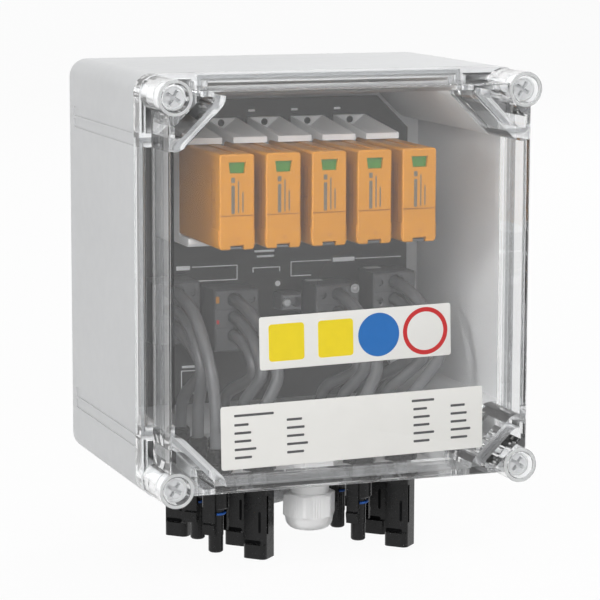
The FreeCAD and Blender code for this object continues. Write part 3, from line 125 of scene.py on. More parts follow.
class JunctionBoxStage(bpy.types.PropertyGroup):
    """Floor, lamps and the view."""
    sky: FloatProperty(
        name="Sky", description="Brightness of the even light from all round", default=0.25, min=0)
    key_power: FloatProperty(
        name="Key lamp", description="Power of the large lamp to the left of the camera", default=18.5,
        min=0, unit="POWER")
    side_power: FloatProperty(
        name="Side lamp", description="Power of the lamp far out to the left", default=13,
        min=0, unit="POWER")
    top_power: FloatProperty(
        name="Top lamp", description="Power of the lamp above the box", default=20,
        min=0, unit="POWER")
    back_power: FloatProperty(
        name="Back lamp", description="Power of the lamp behind the box on the right", default=34,
        min=0, unit="POWER")
    pale_floor: FloatProperty(
        name="Pale floor", description="How much of the floor shows as plain white", default=0.95,
        min=0, max=1, subtype="FACTOR")
    show_floor: BoolProperty(
        name="Floor", description="Put the box above a pale floor with a backdrop", default=True)


class Surface:
    """Grids of points joined into one closed mesh.

    A grid has one row for each station along the shape and one column for each step around it.
    Neighbouring points of neighbouring rows make the four-sided faces.
    """

    def __init__(self):
        self.points = []
        self.faces = []
        self.count = 0

    def add(self, grid, looped=False):
        """One grid that closes around; its ends are joined when looped, and else capped."""
        rows, columns = grid.shape[:2]
        first = self.count + np.arange(rows * columns).reshape(rows, columns)
        here = first if looped else first[:-1]
        ahead = np.roll(first, -1, axis=0)[:len(here)]
        quads = np.stack([here, np.roll(here, -1, axis=1), np.roll(ahead, -1, axis=1), ahead],
                         axis=-1)
        self.faces += list(quads.reshape(-1, 4))
        if not looped:
            self.faces += [first[0][::-1], first[-1]]
        self.points.append(grid.reshape(-1, 3))
        self.count += rows * columns

    def piece(self, name, material, body, slot, smooth=30.0):
        """The mesh as an object at the origin that rides on a body."""
        mesh = bpy.data.meshes.new(name)
        points = np.concatenate(self.points) * MM
        corners = np.concatenate(self.faces).astype(np.int32)
        lengths = np.array([len(face) for face in self.faces], dtype=np.int32)
        mesh.vertices.add(len(points))
        mesh.vertices.foreach_set("co", points.astype(np.float32).ravel())
        mesh.loops.add(len(corners))
        mesh.loops.foreach_set("vertex_index", corners)
        mesh.polygons.add(len(lengths))
        starts = np.concatenate([[0], np.cumsum(lengths)[:-1]]).astype(np.int32)
        mesh.polygons.foreach_set("loop_start", starts)
        mesh.polygons.foreach_set("use_smooth", np.ones(len(lengths), dtype=bool))
        mesh.update(calc_edges=True)
        if mesh.validate():
            raise RuntimeError(name + " has a broken mesh")
        mesh.set_sharp_from_angle(angle=math.radians(smooth))
        mesh.materials.append(material)
        thing = bpy.data.objects.new(name, mesh)
        bpy.context.scene.collection.objects.link(thing)
        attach(thing, body)
        return thing


def tilted(points, degrees, middle=(0.0, 0.0), upright=False):
    """Points turned about an axis square to the front, or about an upright one.

    The two distances from the axis are mixed by the cosine and the sine of one angle.
    """
    angle = math.radians(degrees)
    second = 1 if upright else 2
    across, other = points[..., 0] - middle[0], points[..., second] - middle[1]
    moved = points.copy()
    moved[..., 0] = middle[0] + across * math.cos(angle) - other * math.sin(angle)
    moved[..., second] = middle[1] + across * math.sin(angle) + other * math.cos(angle)
    return moved


def slab(middle, width, height, back, front, corner=0.0, edge=0.0, steps=5, tilt=0.0):
    """A flat block with round corners and a round front edge.

    The outline is a rectangle whose corners are quarter circles. It is carried from the back to
    the front, and drawn in over the last stretch by one minus the cosine of a quarter turn.
    """
    corner = max(corner, edge, 0.001)
    turn = np.linspace(0, math.pi / 2, steps)
    around = np.concatenate([turn + quarter * math.pi / 2 for quarter in range(4)])
    sign_x = np.repeat([1, -1, -1, 1], steps)
    sign_z = np.repeat([1, 1, -1, -1], steps)
    quarter_turn = np.linspace(0, math.pi / 2, 4) if edge else np.zeros(1)
    inset = np.concatenate([[0.0], edge * (1 - np.cos(quarter_turn))])
    depth = np.concatenate([[back], front + edge - edge * np.sin(quarter_turn)])
    radius = (corner - inset)[:, None]
    grid = np.empty((len(inset), len(around), 3))
    grid[..., 0] = middle[0] + sign_x * (width / 2 - corner) + radius * np.cos(around)
    grid[..., 1] = depth[:, None]
    grid[..., 2] = middle[1] + sign_z * (height / 2 - corner) + radius * np.sin(around)
    return tilted(grid, tilt, middle)


def turned(radii, along, middle, steps, upright=False):
    """A profile turned about an axis that is square to the front, or upright.

    A point lies at its radius times the cosine and the sine of the turn, and at its own place
    along the axis. A row may also hold one radius for each step, where the shape isn't round.
    """
    around = np.linspace(0, 2 * math.pi, steps, endpoint=False)
    radii = np.reshape(radii, (len(along), -1))
    second, axis = (1, 2) if upright else (2, 1)
    grid = np.empty((len(along), steps, 3))
    grid[..., 0] = middle[0] + radii * np.cos(around)
    grid[..., second] = middle[1] + radii * np.sin(around)
    grid[..., axis] = np.reshape(along, (-1, 1))
    return grid


def disc(middle, radius, back, front, inner=0.0, steps=64):
    """A round plate that faces the front, or a ring where an inner radius is given."""
    if inner:
        return turned((radius, radius, inner, inner), (back, front, front, back), middle, steps)
    return turned((radius, radius), (back, front), middle, steps)


def smooth_line(points, stations):
    """A quadratic spline with the points as its control points, which ends on the end points.

    On each span the point is a weighted mean of three control points, and the weights are the
    usual products of the distances to the knots on either side.
    """
    control = np.array(points, dtype=float)
    spans = len(control) - 2
    knots = np.concatenate([[0, 0], np.arange(spans + 1), [spans, spans]])
    at = np.linspace(0, spans, stations)
    span = np.minimum(at.astype(int), spans - 1)
    k = span + 2
    near = (at - knots[k]) / (knots[k + 1] - knots[k])
    before = (at - knots[k - 1]) / (knots[k + 1] - knots[k - 1])
    beyond = (at - knots[k]) / (knots[k + 2] - knots[k])
    weights = np.stack([(1 - near) * (1 - before),
                        (1 - near) * before + near * (1 - beyond), near * beyond])
    return sum(weight[:, None] * control[span + step] for step, weight in enumerate(weights))


def tube(line, radii, steps=20):
    """A circle carried along a line, in the plane square to it.

    The circle's first direction is the X axis less its share along the line, and its second is
    square to both.
    """
    along = np.gradient(line, axis=0)
    along /= np.linalg.norm(along, axis=1)[:, None]
    across = np.array([1.0, 0, 0]) - along[:, :1] * along
    across /= np.linalg.norm(across, axis=1)[:, None]
    third = np.cross(along, across)
    around = np.linspace(0, 2 * math.pi, steps, endpoint=False)
    cosine, sine = np.cos(around)[None, :, None], np.sin(around)[None, :, None]
    ring = cosine * across[:, None] + sine * third[:, None]
    return line[:, None] + np.asarray(radii)[:, None, None] * ring


# Noise mostly lies between these two values
NOISE_LOW, NOISE_HIGH = 0.3, 0.7
# Share of a lamp's light that goes through one wall of the lid
SHEET_CLEAR = 0.985


class Finish:
    """A material with one Principled shader, whose pattern lies on Object coordinates."""

    def __init__(self, name, base, roughness, **constants):
        self.material = bpy.data.materials.new(name)
        self.material.use_nodes = True
        self.tree = self.material.node_tree
        self.shader = self.tree.nodes["Principled BSDF"]
        self.output = self.tree.nodes["Material Output"]
        self.base = tuple(base)
        self.roughness = roughness
        self.set(self.shader, "Base Color", (*self.base, 1))
        self.set(self.shader, "Roughness", roughness)
        for socket, value in constants.items():
            self.set(self.shader, socket.replace("_", " "), value)
        self.place = self.tree.nodes.new("ShaderNodeTexCoord").outputs["Object"]

    def set(self, node, socket, value):
        """A constant on a node's own socket."""
        node.inputs[socket].default_value = value

    def join(self, source, target):
        """A link between two sockets."""
        self.tree.links.new(source, target)

    def noise(self, scale, detail):
        """A noise pattern, with its scale in features a metre."""
        noise = self.tree.nodes.new("ShaderNodeTexNoise")
        self.set(noise, "Scale", scale)
        self.set(noise, "Detail", detail)
        self.join(self.place, noise.inputs["Vector"])
        return noise.outputs["Fac"]

    def spread(self, factor, low, high):
        """A pattern spread between two numbers."""
        node = self.tree.nodes.new("ShaderNodeMapRange")
        self.set(node, "From Min", NOISE_LOW)
        self.set(node, "From Max", NOISE_HIGH)
        self.set(node, "To Min", low)
        self.set(node, "To Max", high)
        self.join(factor, node.inputs["Value"])
        return node.outputs["Result"]

    def mottled(self, scale, amount):
        """Colour that wanders a little darker and lighter."""
        mix = self.tree.nodes.new("ShaderNodeMix")
        mix.data_type = "RGBA"
        mix.inputs[6].default_value = (*(c * (1 - amount) for c in self.base), 1)
        mix.inputs[7].default_value = (*(min(c * (1 + amount), 1) for c in self.base), 1)
        self.join(self.spread(self.noise(scale, 2), 0, 1), mix.inputs["Factor"])
        self.join(mix.outputs[2], self.shader.inputs["Base Color"])
        return self

    def brushed(self, scale, amount):
        """Roughness that wanders about its middle value."""
        low, high = self.roughness - amount, self.roughness + amount
        self.join(self.spread(self.noise(scale, 3), low, high), self.shader.inputs["Roughness"])
        return self

    def grained(self, scale, depth, strength=1.0):
        """A fine grain in the surface, with its depth in metres."""
        bump = self.tree.nodes.new("ShaderNodeBump")
        self.set(bump, "Strength", strength)
        self.set(bump, "Distance", depth)
        self.join(self.noise(scale, 4), bump.inputs["Height"])
        self.join(bump.outputs["Normal"], self.shader.inputs["Normal"])
        return self

    def lets_light_in(self):
        """Lamps shine through the clear plastic: for their rays it is a plain transparent sheet."""
        clear = self.tree.nodes.new("ShaderNodeBsdfTransparent")
        self.set(clear, "Color", (SHEET_CLEAR, SHEET_CLEAR, SHEET_CLEAR, 1))
        mix = self.tree.nodes.new("ShaderNodeMixShader")
        path = self.tree.nodes.new("ShaderNodeLightPath")
        self.join(path.outputs["Is Shadow Ray"], mix.inputs["Fac"])
        self.join(self.shader.outputs[0], mix.inputs[1])
        self.join(clear.outputs[0], mix.inputs[2])
        self.join(mix.outputs[0], self.output.inputs["Surface"])
        return self


FINISHES = {}


def make_finishes(colours):
    """Every finish of the box, by the slot or the print that wears it."""
    FINISHES.update({
        "case_grey": Finish("Case_moulding", colours.case, 0.42).mottled(14, 0.02)
        .brushed(160, 0.05).grained(1400, 0.00006),
        "clear_lid": Finish("Clear_lid", (0.985, 0.988, 0.99), 0.015, Transmission_Weight=0.99,
                            IOR=1.5).grained(18, 0.0002, 0.2).lets_light_in(),
        "frosted_face": Finish("Frosted_tower_face", (0.90, 0.91, 0.91), 0.35,
                               Transmission_Weight=0.35, IOR=1.5).grained(1200, 0.00003),
        "seal_foam": Finish("Seal_foam", linear(150, 152, 154), 0.85).mottled(500, 0.08)
        .grained(2500, 0.0002),
        "screw_clear": Finish("Screw_plastic", (0.84, 0.85, 0.86), 0.22, Transmission_Weight=0.25,
                              IOR=1.5).brushed(900, 0.04).grained(500, 0.00004),
        "plate_dark": Finish("Mounting_plate", colours.plate, 0.5).mottled(40, 0.05)
        .brushed(200, 0.06).grained(1800, 0.00005),
        "zinc_steel": Finish("Zinc_plate", (0.62, 0.63, 0.64), 0.32, Metallic=1.0)
        .mottled(700, 0.06).brushed(1500, 0.08),
        "module_grey": Finish("Arrester_base", colours.arrester_base, 0.45).mottled(60, 0.02)
        .brushed(300, 0.05).grained(1800, 0.00004),
        "plug_orange": Finish("Arrester_plug", colours.plug, 0.40).mottled(60, 0.025)
        .brushed(300, 0.05).grained(1800, 0.00004),
        "flag_green": Finish("Indicator_flag", colours.flag, 0.35).mottled(300, 0.03)
        .grained(1500, 0.00002),
        "flag_red": Finish("Tripped_flag", colours.tripped, 0.4).mottled(300, 0.03)
        .grained(1500, 0.00002),
        "contact_copper": Finish("Contact_metal", (0.80, 0.62, 0.38), 0.3, Metallic=1.0)
        .mottled(500, 0.05).brushed(1200, 0.08),
        "block_black": Finish("Terminal_block", colours.block, 0.42).mottled(80, 0.06)
        .brushed(300, 0.06).grained(1600, 0.00005),
        "cable_black": Finish("Cable_sheath", colours.cables, 0.36).mottled(120, 0.08)
        .brushed(500, 0.06).grained(2600, 0.00004),
        "connector_black": Finish("Panel_connector", colours.black_parts, 0.28,
                                  Specular_IOR_Level=0.3).mottled(80, 0.06)
        .brushed(350, 0.07).grained(1500, 0.00006),
        "ring_blue": Finish("Sealing_ring", colours.rings, 0.5).mottled(300, 0.05)
        .grained(2500, 0.00003),
        "gland_white": Finish("Cable_gland", colours.gland, 0.38).mottled(60, 0.02)
        .brushed(400, 0.05).grained(1800, 0.00004),
        "vent_milky": Finish("Pressure_vent", (0.84, 0.85, 0.86), 0.28, Transmission_Weight=0.15,
                             IOR=1.45).mottled(150, 0.02).brushed(600, 0.05),
        "label": Finish("Label_film", colours.label, 0.38).mottled(90, 0.008)
        .brushed(260, 0.05).grained(900, 0.00002),
        "yellow": Finish("Yellow_print", colours.yellow_field, 0.38).mottled(200, 0.02)
        .brushed(260, 0.05),
        "blue": Finish("Blue_print", colours.blue_field, 0.38).mottled(200, 0.02).brushed(260, 0.05),
        "red": Finish("Red_print", colours.red_field, 0.38).mottled(200, 0.02).brushed(260, 0.05),
        "dark_print": Finish("Dark_print", colours.print_dark, 0.45).mottled(900, 0.15)
        .brushed(900, 0.05),
        "light_print": Finish("Light_print", colours.print_light, 0.5).mottled(900, 0.04)
        .brushed(900, 0.05),
        # Painted shade: a darker orange for the shade in the grooves and moulding lines of the plugs
        "plug_shade": Finish("Plug_groove", colours.plug_shade, 0.5).mottled(300, 0.05)
        .brushed(300, 0.05),
        # Painted shade: a near-black, barely glossy sheet for the shade inside holes and slots
        "hollow_shade": Finish("Dark_recess", linear(12, 12, 13), 0.7, Specular_IOR_Level=0.05)
        .mottled(400, 0.1).brushed(600, 0.05),
        "plug_ink": Finish("Plug_print", colours.plug_ink, 0.5).mottled(900, 0.1).brushed(600, 0.05),
        # Painted shade: the clamp screws get a much darker steel, for the shade of the deep holes they
        # sit in
        "shade_dark_steel": Finish("Clamp_screw", linear(96, 97, 99), 0.35, Metallic=0.9)
        .mottled(700, 0.08).brushed(1200, 0.08),
        "earth_metal": Finish("Earth_terminal", linear(128, 129, 131), 0.42, Metallic=0.7)
        .mottled(500, 0.08).brushed(900, 0.08),
        "tag_white": Finish("Marker_tag", linear(200, 201, 203), 0.4).mottled(200, 0.03)
        .grained(1500, 0.00002),
    })


def finish(name):
    """The material of a finish."""
    return FINISHES[name].material


# Screw towers of the lid: their middles, the outer and inner radius of the frosted ring, and how
# far behind the face it starts and ends
TOWERS = [(across, level) for across in (-87.0, 87.0) for level in (-91.0, 91.0)]
TOWER_RING = (8.25, 6.85)
TOWER_FACE = -151.9
RING_BACK, RING_FRONT = 0.3, 0.02

# Labels: the face of the lid under them, their corners and edges, and each one's place and size
LABEL_FACE = -151.5
LABEL_CORNER, LABEL_EDGE = 1.2, 0.05
FIELDS_LABEL = {"middle": (1.5, -23.1), "width": 96.3, "height": 25.1, "tilt": 1.25}
LIST_LABEL = {"middle": (0.6, -66.8), "width": 132.2, "height": 30.2, "tilt": 0.95}

# Colour fields on the upper label: how far right of its middle, and their size
YELLOW_FIELDS = ((-34.8, 17.6), (-10.3, 17.6))
YELLOW_CORNER = 1.6
BLUE_FIELD = (11.4, 10.4)
RED_RING = (35.1, 11.4, 9.3)

# Bars on the lower label: left edge and first row from its middle, and the length of each row
BAR_COLUMNS = (
    (-59.5, 10.4, (19.5,)),
    (-59.5, 6.0, (7.0, 8.2, 8.2, 10.6, 8.4)),
    (-33.6, 6.6, (7.6, 8.8, 8.6, 10.4, 8.4)),
    (29.6, 10.4, (11.5,)),
    (30.4, 6.4, (7.0, 8.4, 8.2, 10.6, 8.2)),
    (49.6, 6.6, (7.4, 8.4, 8.2, 10.2, 8.6)),
)
BAR_HEIGHT = 1.15
BAR_PITCH = 3.9
PRINT_CORNER = 0.3

# Arresters: the middle one, and the pitch of the five
MODULE_MIDDLE, MODULE_PITCH = 1.2, 23.3


def module_middle(number):
    """Middle of an arrester along X, counted from the third."""
    return MODULE_MIDDLE + (number - 3) * MODULE_PITCH


# Nodes whose finish is a variant of their slot's
OWN_FINISHES = {"earth_terminal": "earth_metal", "clamp_screws": "shade_dark_steel"}


class JUNCTIONBOX_OT_finishes(bpy.types.Operator):
    """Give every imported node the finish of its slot"""
    bl_idname = "junctionbox.finishes"
    bl_label = "Finishes"

    def execute(self, context):
        make_finishes(context.scene.junction_colours)
        for part in frame["record"]["subparts"]:
            thing = frame["nodes"][part["node"]]
            thing.data.materials.clear()
            named = OWN_FINISHES.get(part["node"], part["material_slot"])
            thing.data.materials.append(finish(named))
        return {"FINISHED"}


class JUNCTIONBOX_OT_lid(bpy.types.Operator):
    """Draw the clear lid a hair inside its packed form, so that it touches nothing opaque"""
    bl_idname = "junctionbox.lid"
    bl_label = "Clear lid"

    def execute(self, context):
        """Every face of the lid moves inwards by the same gap.

        The shift of a point is the least-squares answer to that wish of all the faces round it:
        the sum of each normal times itself, inverted, times the sum of the normals, times the gap.
        """
        gap = context.scene.junction_sizes.lid_gap
        mesh = frame["nodes"]["clear_lid"].data.copy()
        mesh.name = "lid_moulding"
        points = np.empty(len(mesh.vertices) * 3, dtype=np.float32)
        mesh.vertices.foreach_get("co", points)
        points = points.reshape(-1, 3).astype(float)
        normals = np.empty(len(mesh.polygons) * 3, dtype=np.float32)
        mesh.polygons.foreach_get("normal", normals)
        corners = np.empty(len(mesh.loops), dtype=np.int32)
        mesh.loops.foreach_get("vertex_index", corners)
        totals = np.empty(len(mesh.polygons), dtype=np.int32)
        mesh.polygons.foreach_get("loop_total", totals)
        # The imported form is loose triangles, so points within a micrometre share their faces
        cells = np.round(points * 1e6).astype(np.int64)
        places, place_of = np.unique(cells, axis=0, return_inverse=True)
        place_of = place_of.ravel()
        around = np.repeat(normals.reshape(-1, 3), totals, axis=0).astype(float)
        squares = np.zeros((len(places), 3, 3))
        sums = np.zeros((len(places), 3))
        np.add.at(squares, place_of[corners], around[:, :, None] * around[:, None, :])
        np.add.at(sums, place_of[corners], around)
        shift = np.einsum("nij,nj->ni", np.linalg.pinv(squares, rcond=0.02, hermitian=True), sums)
        points -= gap * shift[place_of]
        mesh.vertices.foreach_set("co", points.astype(np.float32).ravel())
        mesh.update()
        mesh.materials.clear()
        mesh.materials.append(finish("clear_lid"))
        thing = bpy.data.objects.new("lid_moulding", mesh)
        context.scene.collection.objects.link(thing)
        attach(thing, "lid")
        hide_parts("clear_lid")

        rings = Surface()
        outer, inner = TOWER_RING
        for middle in TOWERS:
            rings.add(disc(middle, outer, TOWER_FACE + RING_BACK, TOWER_FACE + RING_FRONT, inner),
                      looped=True)
        rings.piece("tower_faces", finish("frosted_face"), "lid", "clear_lid")
        return {"FINISHED"}


class JUNCTIONBOX_OT_labels(bpy.types.Operator):
    """Lay two adhesive labels on the lid, with plain colour fields and bars"""
    bl_idname = "junctionbox.labels"
    bl_label = "Labels"

    def execute(self, context):
        sizes = context.scene.junction_sizes
        film = LABEL_FACE - sizes.label_thickness / MM
        ink = film - sizes.ink_thickness / MM
        for name, label in (("label_fields", FIELDS_LABEL), ("label_list", LIST_LABEL)):
            sheet = Surface()
            sheet.add(slab(label["middle"], label["width"], label["height"], LABEL_FACE, film,
                           corner=LABEL_CORNER, edge=LABEL_EDGE, tilt=label["tilt"]))
            sheet.piece(name, finish("label"), "lid", "gland_white")

        middle, tilt = FIELDS_LABEL["middle"], FIELDS_LABEL["tilt"]
        squares = Surface()
        for right, side in YELLOW_FIELDS:
            square = slab((middle[0] + right, middle[1]), side, side, film, ink,
                          corner=YELLOW_CORNER)
            squares.add(tilted(square, tilt, middle))
        squares.piece("yellow_fields", finish("yellow"), "lid", "plug_orange")
        right, radius = BLUE_FIELD
        blue = Surface()
        blue.add(tilted(disc((middle[0] + right, middle[1]), radius, film, ink), tilt, middle))
        blue.piece("blue_field", finish("blue"), "lid", "ring_blue")
        right, radius, inner = RED_RING
        red = Surface()
        ring = disc((middle[0] + right, middle[1]), radius, film, ink, inner)
        red.add(tilted(ring, tilt, middle), looped=True)
        red.piece("red_ring", finish("red"), "lid", "ring_blue")

        middle, tilt = LIST_LABEL["middle"], LIST_LABEL["tilt"]
        bars = Surface()
        for left, top, lengths in BAR_COLUMNS:
            for row, length in enumerate(lengths):
                at = (middle[0] + left + length / 2, middle[1] + top - row * BAR_PITCH)
                bar = slab(at, length, BAR_HEIGHT, film, ink, PRINT_CORNER, steps=3)
                bars.add(tilted(bar, tilt, middle))
        bars.piece("list_bars", finish("dark_print"), "lid", "block_black")
        return {"FINISHED"}


# Print on the front face of the mounting plate. Level lines: left end, right end and level. Upright
# lines: place across, lower end and upper end. Bars: middle, width and height.
PLATE_FACE = -19.0
LINE_WIDTH = 0.5
LEVEL_LINES = ((-37.3, -13.2, -6.2), (-34.6, -13.2, -13.5), (16.2, 38.0, -5.8), (52.0, 77.1, -5.6),
               (16.2, 27.0, -13.2), (-4.6, 10.0, -8.1))
UPRIGHT_LINES = ((-13.2, -13.5, -6.2), (16.2, -13.2, -5.8), (-4.6, -10.4, -8.1), (10.0, -10.4, -8.1))
PLATE_BARS = (
    (1.6, 0.5, 11.0, 1.1), (2.2, -2.2, 9.6, 1.1), (-42.2, -6.5, 7.4, 2.2), (45.2, -5.7, 12.2, 2.2),
    (-39.2, -57.6, 7.8, 1.3),
)
EARTH_SPOT, EARTH_SPOT_RADIUS = (8.9, -16.7), 1.5
# A tick above each arrester: how far right of its middle, level, width and height
MODULE_TICK = (-6.6, 73.0, 3.6, 1.2)
# An open square: left, right, lowest and highest
OPEN_SQUARE = (-43.3, -30.4, -71.5, -59.7)


class JUNCTIONBOX_OT_plate_print(bpy.types.Operator):
    """Print brackets, ticks and a plain square on the mounting plate"""
    bl_idname = "junctionbox.plate_print"
    bl_label = "Plate print"

    def execute(self, context):
        face = PLATE_FACE
        ink = face - context.scene.junction_sizes.ink_thickness / MM
        white = Surface()

        def line(left, right, low, high):
            """A line of print between two ends, longer by its width where it runs across."""
            width = right - left + LINE_WIDTH if low == high else LINE_WIDTH
            height = max(high - low, LINE_WIDTH)
            white.add(slab(((left + right) / 2, (low + high) / 2), width, height, face, ink))

        def bar(across, level, width, height):
            """A bar of print with round corners."""
            white.add(slab((across, level), width, height, face, ink, PRINT_CORNER, steps=3))

        for left, right, level in LEVEL_LINES:
            line(left, right, level, level)
        for across, low, high in UPRIGHT_LINES:
            line(across, across, low, high)
        right, level, width, height = MODULE_TICK
        for number in MODULES:
            bar(module_middle(number) + right, level, width, height)
        for row in PLATE_BARS:
            bar(*row)
        white.add(disc(EARTH_SPOT, EARTH_SPOT_RADIUS, face, ink, steps=32))
        left, right, low, high = OPEN_SQUARE
        for across in (left, right):
            line(across, across, low - LINE_WIDTH / 2, high + LINE_WIDTH / 2)
        for level in (low, high):
            line(left + LINE_WIDTH / 2, right - LINE_WIDTH / 2, level, level)
        white.piece("plate_print", finish("light_print"), "case", "gland_white")
        return {"FINISHED"}


# The front face of a plug and half its width
PLUG_FACE, PLUG_HALF = -115.0, 8.75
# Plain bars on that face: how far right, level, width and height
PLUG_BARS = ((-2.1, 39.3, 1.7, 13.6), (-2.1, 48.6, 1.9, 2.6), (0.6, 40.6, 0.7, 15.4),
             (2.8, 38.1, 0.7, 9.8))
# Painted shade in the seam across the front, a darker slab sunk in its groove: level, width, height,
# and how far behind the face it starts and ends
PLUG_SEAM = (31.65, 16.6, 0.44, 0.5, 0.42)
# A small ring: how far right, level, outer and inner radius
PLUG_RING = (0.55, 20.6, 0.85, 0.6)
# The latch and the tripped field: level, width, height, back, front, corner and edge
PLUG_LATCH = (16.1, 6.4, 1.3, -112.1, -113.6, 0.4, 0.3)
TRIPPED_FIELD = (53.7, 10.2, 6.4, -111.65, -111.82, 0.4, 0.0)
# Fine lines of painted shade on the left side of a plug, where its moulding lines lie: depth, level,
# width and height
PLUG_SIDE_LINES = ((-102.8, 37.1, 0.35, 31.4), (-108.1, 37.1, 0.35, 31.4), (-105.45, 52.8, 5.3, 0.35),
                   (-105.45, 21.4, 5.3, 0.35), (-105.45, 38.4, 5.3, 0.5))


class JUNCTIONBOX_OT_plug_marks(bpy.types.Operator):
    """Put a print of plain bars, painted groove shade, a latch and the tripped field on each arrester
    plug
    """
    bl_idname = "junctionbox.plug_marks"
    bl_label = "Plug marks"

    def execute(self, context):
        face = PLUG_FACE
        thickness = context.scene.junction_sizes.ink_thickness / MM
        ink = face - thickness
        for number in MODULES:
            across, body = module_middle(number), "plug_%d" % number
            marks = Surface()
            for right, level, width, height in PLUG_BARS:
                marks.add(slab((across + right, level), width, height, face, ink, PRINT_CORNER,
                               steps=3))
            marks.piece("plug_print_%d" % number, finish("plug_ink"), body, "block_black")

            # Painted shade in darker orange: a slab in the seam groove and the fine moulding lines on
            # the left side, with a small ring in the same colour
            shade_lines = Surface()
            level, width, height, back, front = PLUG_SEAM
            shade_lines.add(slab((across, level), width, height, face + back, face + front))
            right, level, outer, inner = PLUG_RING
            shade_lines.add(disc((across + right, level), outer, face, ink, inner, 24), looped=True)
            for depth, level, width, height in PLUG_SIDE_LINES:
                line = slab((-depth, level), width, height, 0, -thickness)
                shade_lines.add(line[..., [1, 0, 2]] * (1, -1, 1) + (across - PLUG_HALF, 0, 0))
            shade_lines.piece("plug_lines_%d" % number, finish("plug_shade"), body, "plug_orange")

            for name, look, slot, (level, *sizes) in (
                    ("plug_latch_%d", "block_black", "block_black", PLUG_LATCH),
                    ("tripped_field_%d", "flag_red", "plug_orange", TRIPPED_FIELD)):
                mark = Surface()
                mark.add(slab((across, level), *sizes))
                mark.piece(name % number, finish(look), body, slot)
        return {"FINISHED"}


# Panel cables: middle and top of each block, side of its clamp screws, column of connectors, and
# how far each pole's cable swings to the right
CABLE_RUNS = (
    (-51.9, 10.4, 1, -48.6, (4.0, 3.0, 9.0)),
    (-20.7, 15.5, 1, -26.2, (11.0, 5.0, 4.0)),
    (33.7, 15.5, -1, 26.2, (6.0, 4.0, 4.0)),
    (64.9, 10.4, -1, 48.6, (11.0, 7.0, 3.0)),
)
# How far the cable of each pole reaches out from the front face of its block
CABLE_REACH = (46.0, 35.0, 25.0)
BLOCK_FACE = -41.0
# How far below the top of a block its first pole lies, and the pitch of its poles
POLE_FIRST, POLE_PITCH = 5.2, 9.2
# Panel connectors: depth of each row, the kinds in each column, and the top of their tails
PORT_ROWS = (-92.0, -63.0, -34.0)
PORT_COLUMNS = ((-48.6, ("pin", "pin", "socket")), (-26.2, ("socket", "socket", "pin")),
                (26.2, ("pin", "pin", "socket")), (48.6, ("socket", "socket", "pin")))
TAIL_TOP = -85.0
# A cable starts this far inside its entry, and ends this far inside its connector's tail. It comes
# straight up the last stretch to the tail.
ENTRY_DEPTH, TAIL_DEPTH, TAIL_STRETCH = 4.8, 0.2, 15
# Shares of the reach: where the straight start ends, and how far below its entry the crest lies
START_SHARE, CREST_DROP = 0.55, 0.62
# Share of the swing at the crest, and of the way in from the crest to the port halfway down
CREST_SWING, FALL_SHARE = 0.75, 0.45


def cable_points(run, pole):
    """The points that a panel cable follows, from inside its entry to inside its connector."""
    across, top, side, column, swings = run
    start = across - side
    level = -top - POLE_FIRST - pole * POLE_PITCH
    reach, swing = CABLE_REACH[pole], swings[pole]
    crest_y, crest_z = BLOCK_FACE - reach, level - CREST_DROP * reach
    port_y, above = PORT_ROWS[pole], TAIL_TOP + TAIL_STRETCH
    halfway = ((start + swing + column) / 2, crest_y + FALL_SHARE * (port_y - crest_y),
               (crest_z + above) / 2)
    return [(start, BLOCK_FACE + ENTRY_DEPTH, level),
            (start, BLOCK_FACE - START_SHARE * reach, level),
            (start + CREST_SWING * swing, crest_y, crest_z), halfway,
            (column, port_y, above), (column, port_y, TAIL_TOP - TAIL_DEPTH)]


class JUNCTIONBOX_OT_cables(bpy.types.Operator):
    """Run the panel cables from the terminal blocks down to the panel connectors"""
    bl_idname = "junctionbox.cables"
    bl_label = "Cables"

    def execute(self, context):
        sizes = context.scene.junction_sizes
        for number, run in enumerate(CABLE_RUNS, start=1):
            cables = Surface()
            for pole in range(3):
                line = smooth_line(cable_points(run, pole), sizes.cable_stations)
                radii = np.full(len(line), sizes.cable_radius / MM)
                cables.add(tube(line, radii))
            thing = cables.piece("panel_cables_%d" % number, finish("cable_black"), "case",
                                 "cable_black")
            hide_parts("cables_%d" % number)
        return {"FINISHED"}


# Axis of the cable gland, and the top of its nut
GLAND_AT = (1.5, -88.0)
NUT_TOP = -111.0
# Half the width across the flats, and the radius that rounds the corners between them
NUT_FLAT, NUT_CORNER = 12.0, 13.5
# Outside of the nut from its top down, and inside from its mouth up: radius and level
NUT_OUTSIDE = (
    (11.0, NUT_TOP), (11.7, NUT_TOP), (12.1, NUT_TOP - 0.25), (13.9, NUT_TOP - 0.8), (13.9, -121.6),
    (13.9, -122.1), (12.6, -122.8), (12.0, -123.6), (11.85, -124.7), (11.69, -125.57),
    (11.3, -126.7), (10.68, -127.65), (9.9, -128.5), (8.88, -129.08), (7.8, -129.45), (6.6, -129.6))
NUT_INSIDE = ((6.2, -129.4), (6.2, -127.2), (9.98, -127.2), (9.98, NUT_TOP - 0.2), (10.2, NUT_TOP))
# The ribs reach this angle to each side of the middle of a flat, and end over a small angle
RIB_REACH, RIB_END = 0.27, 0.02
# How far below the middle of the box the ribs rise from nothing, stand full, and fade to nothing
RIB_LEVELS, RIB_SHARES = (111.6, 112.4, 121.6, 122.8), (0, 1, 1, 0)
STEPS_A_RIB = 8


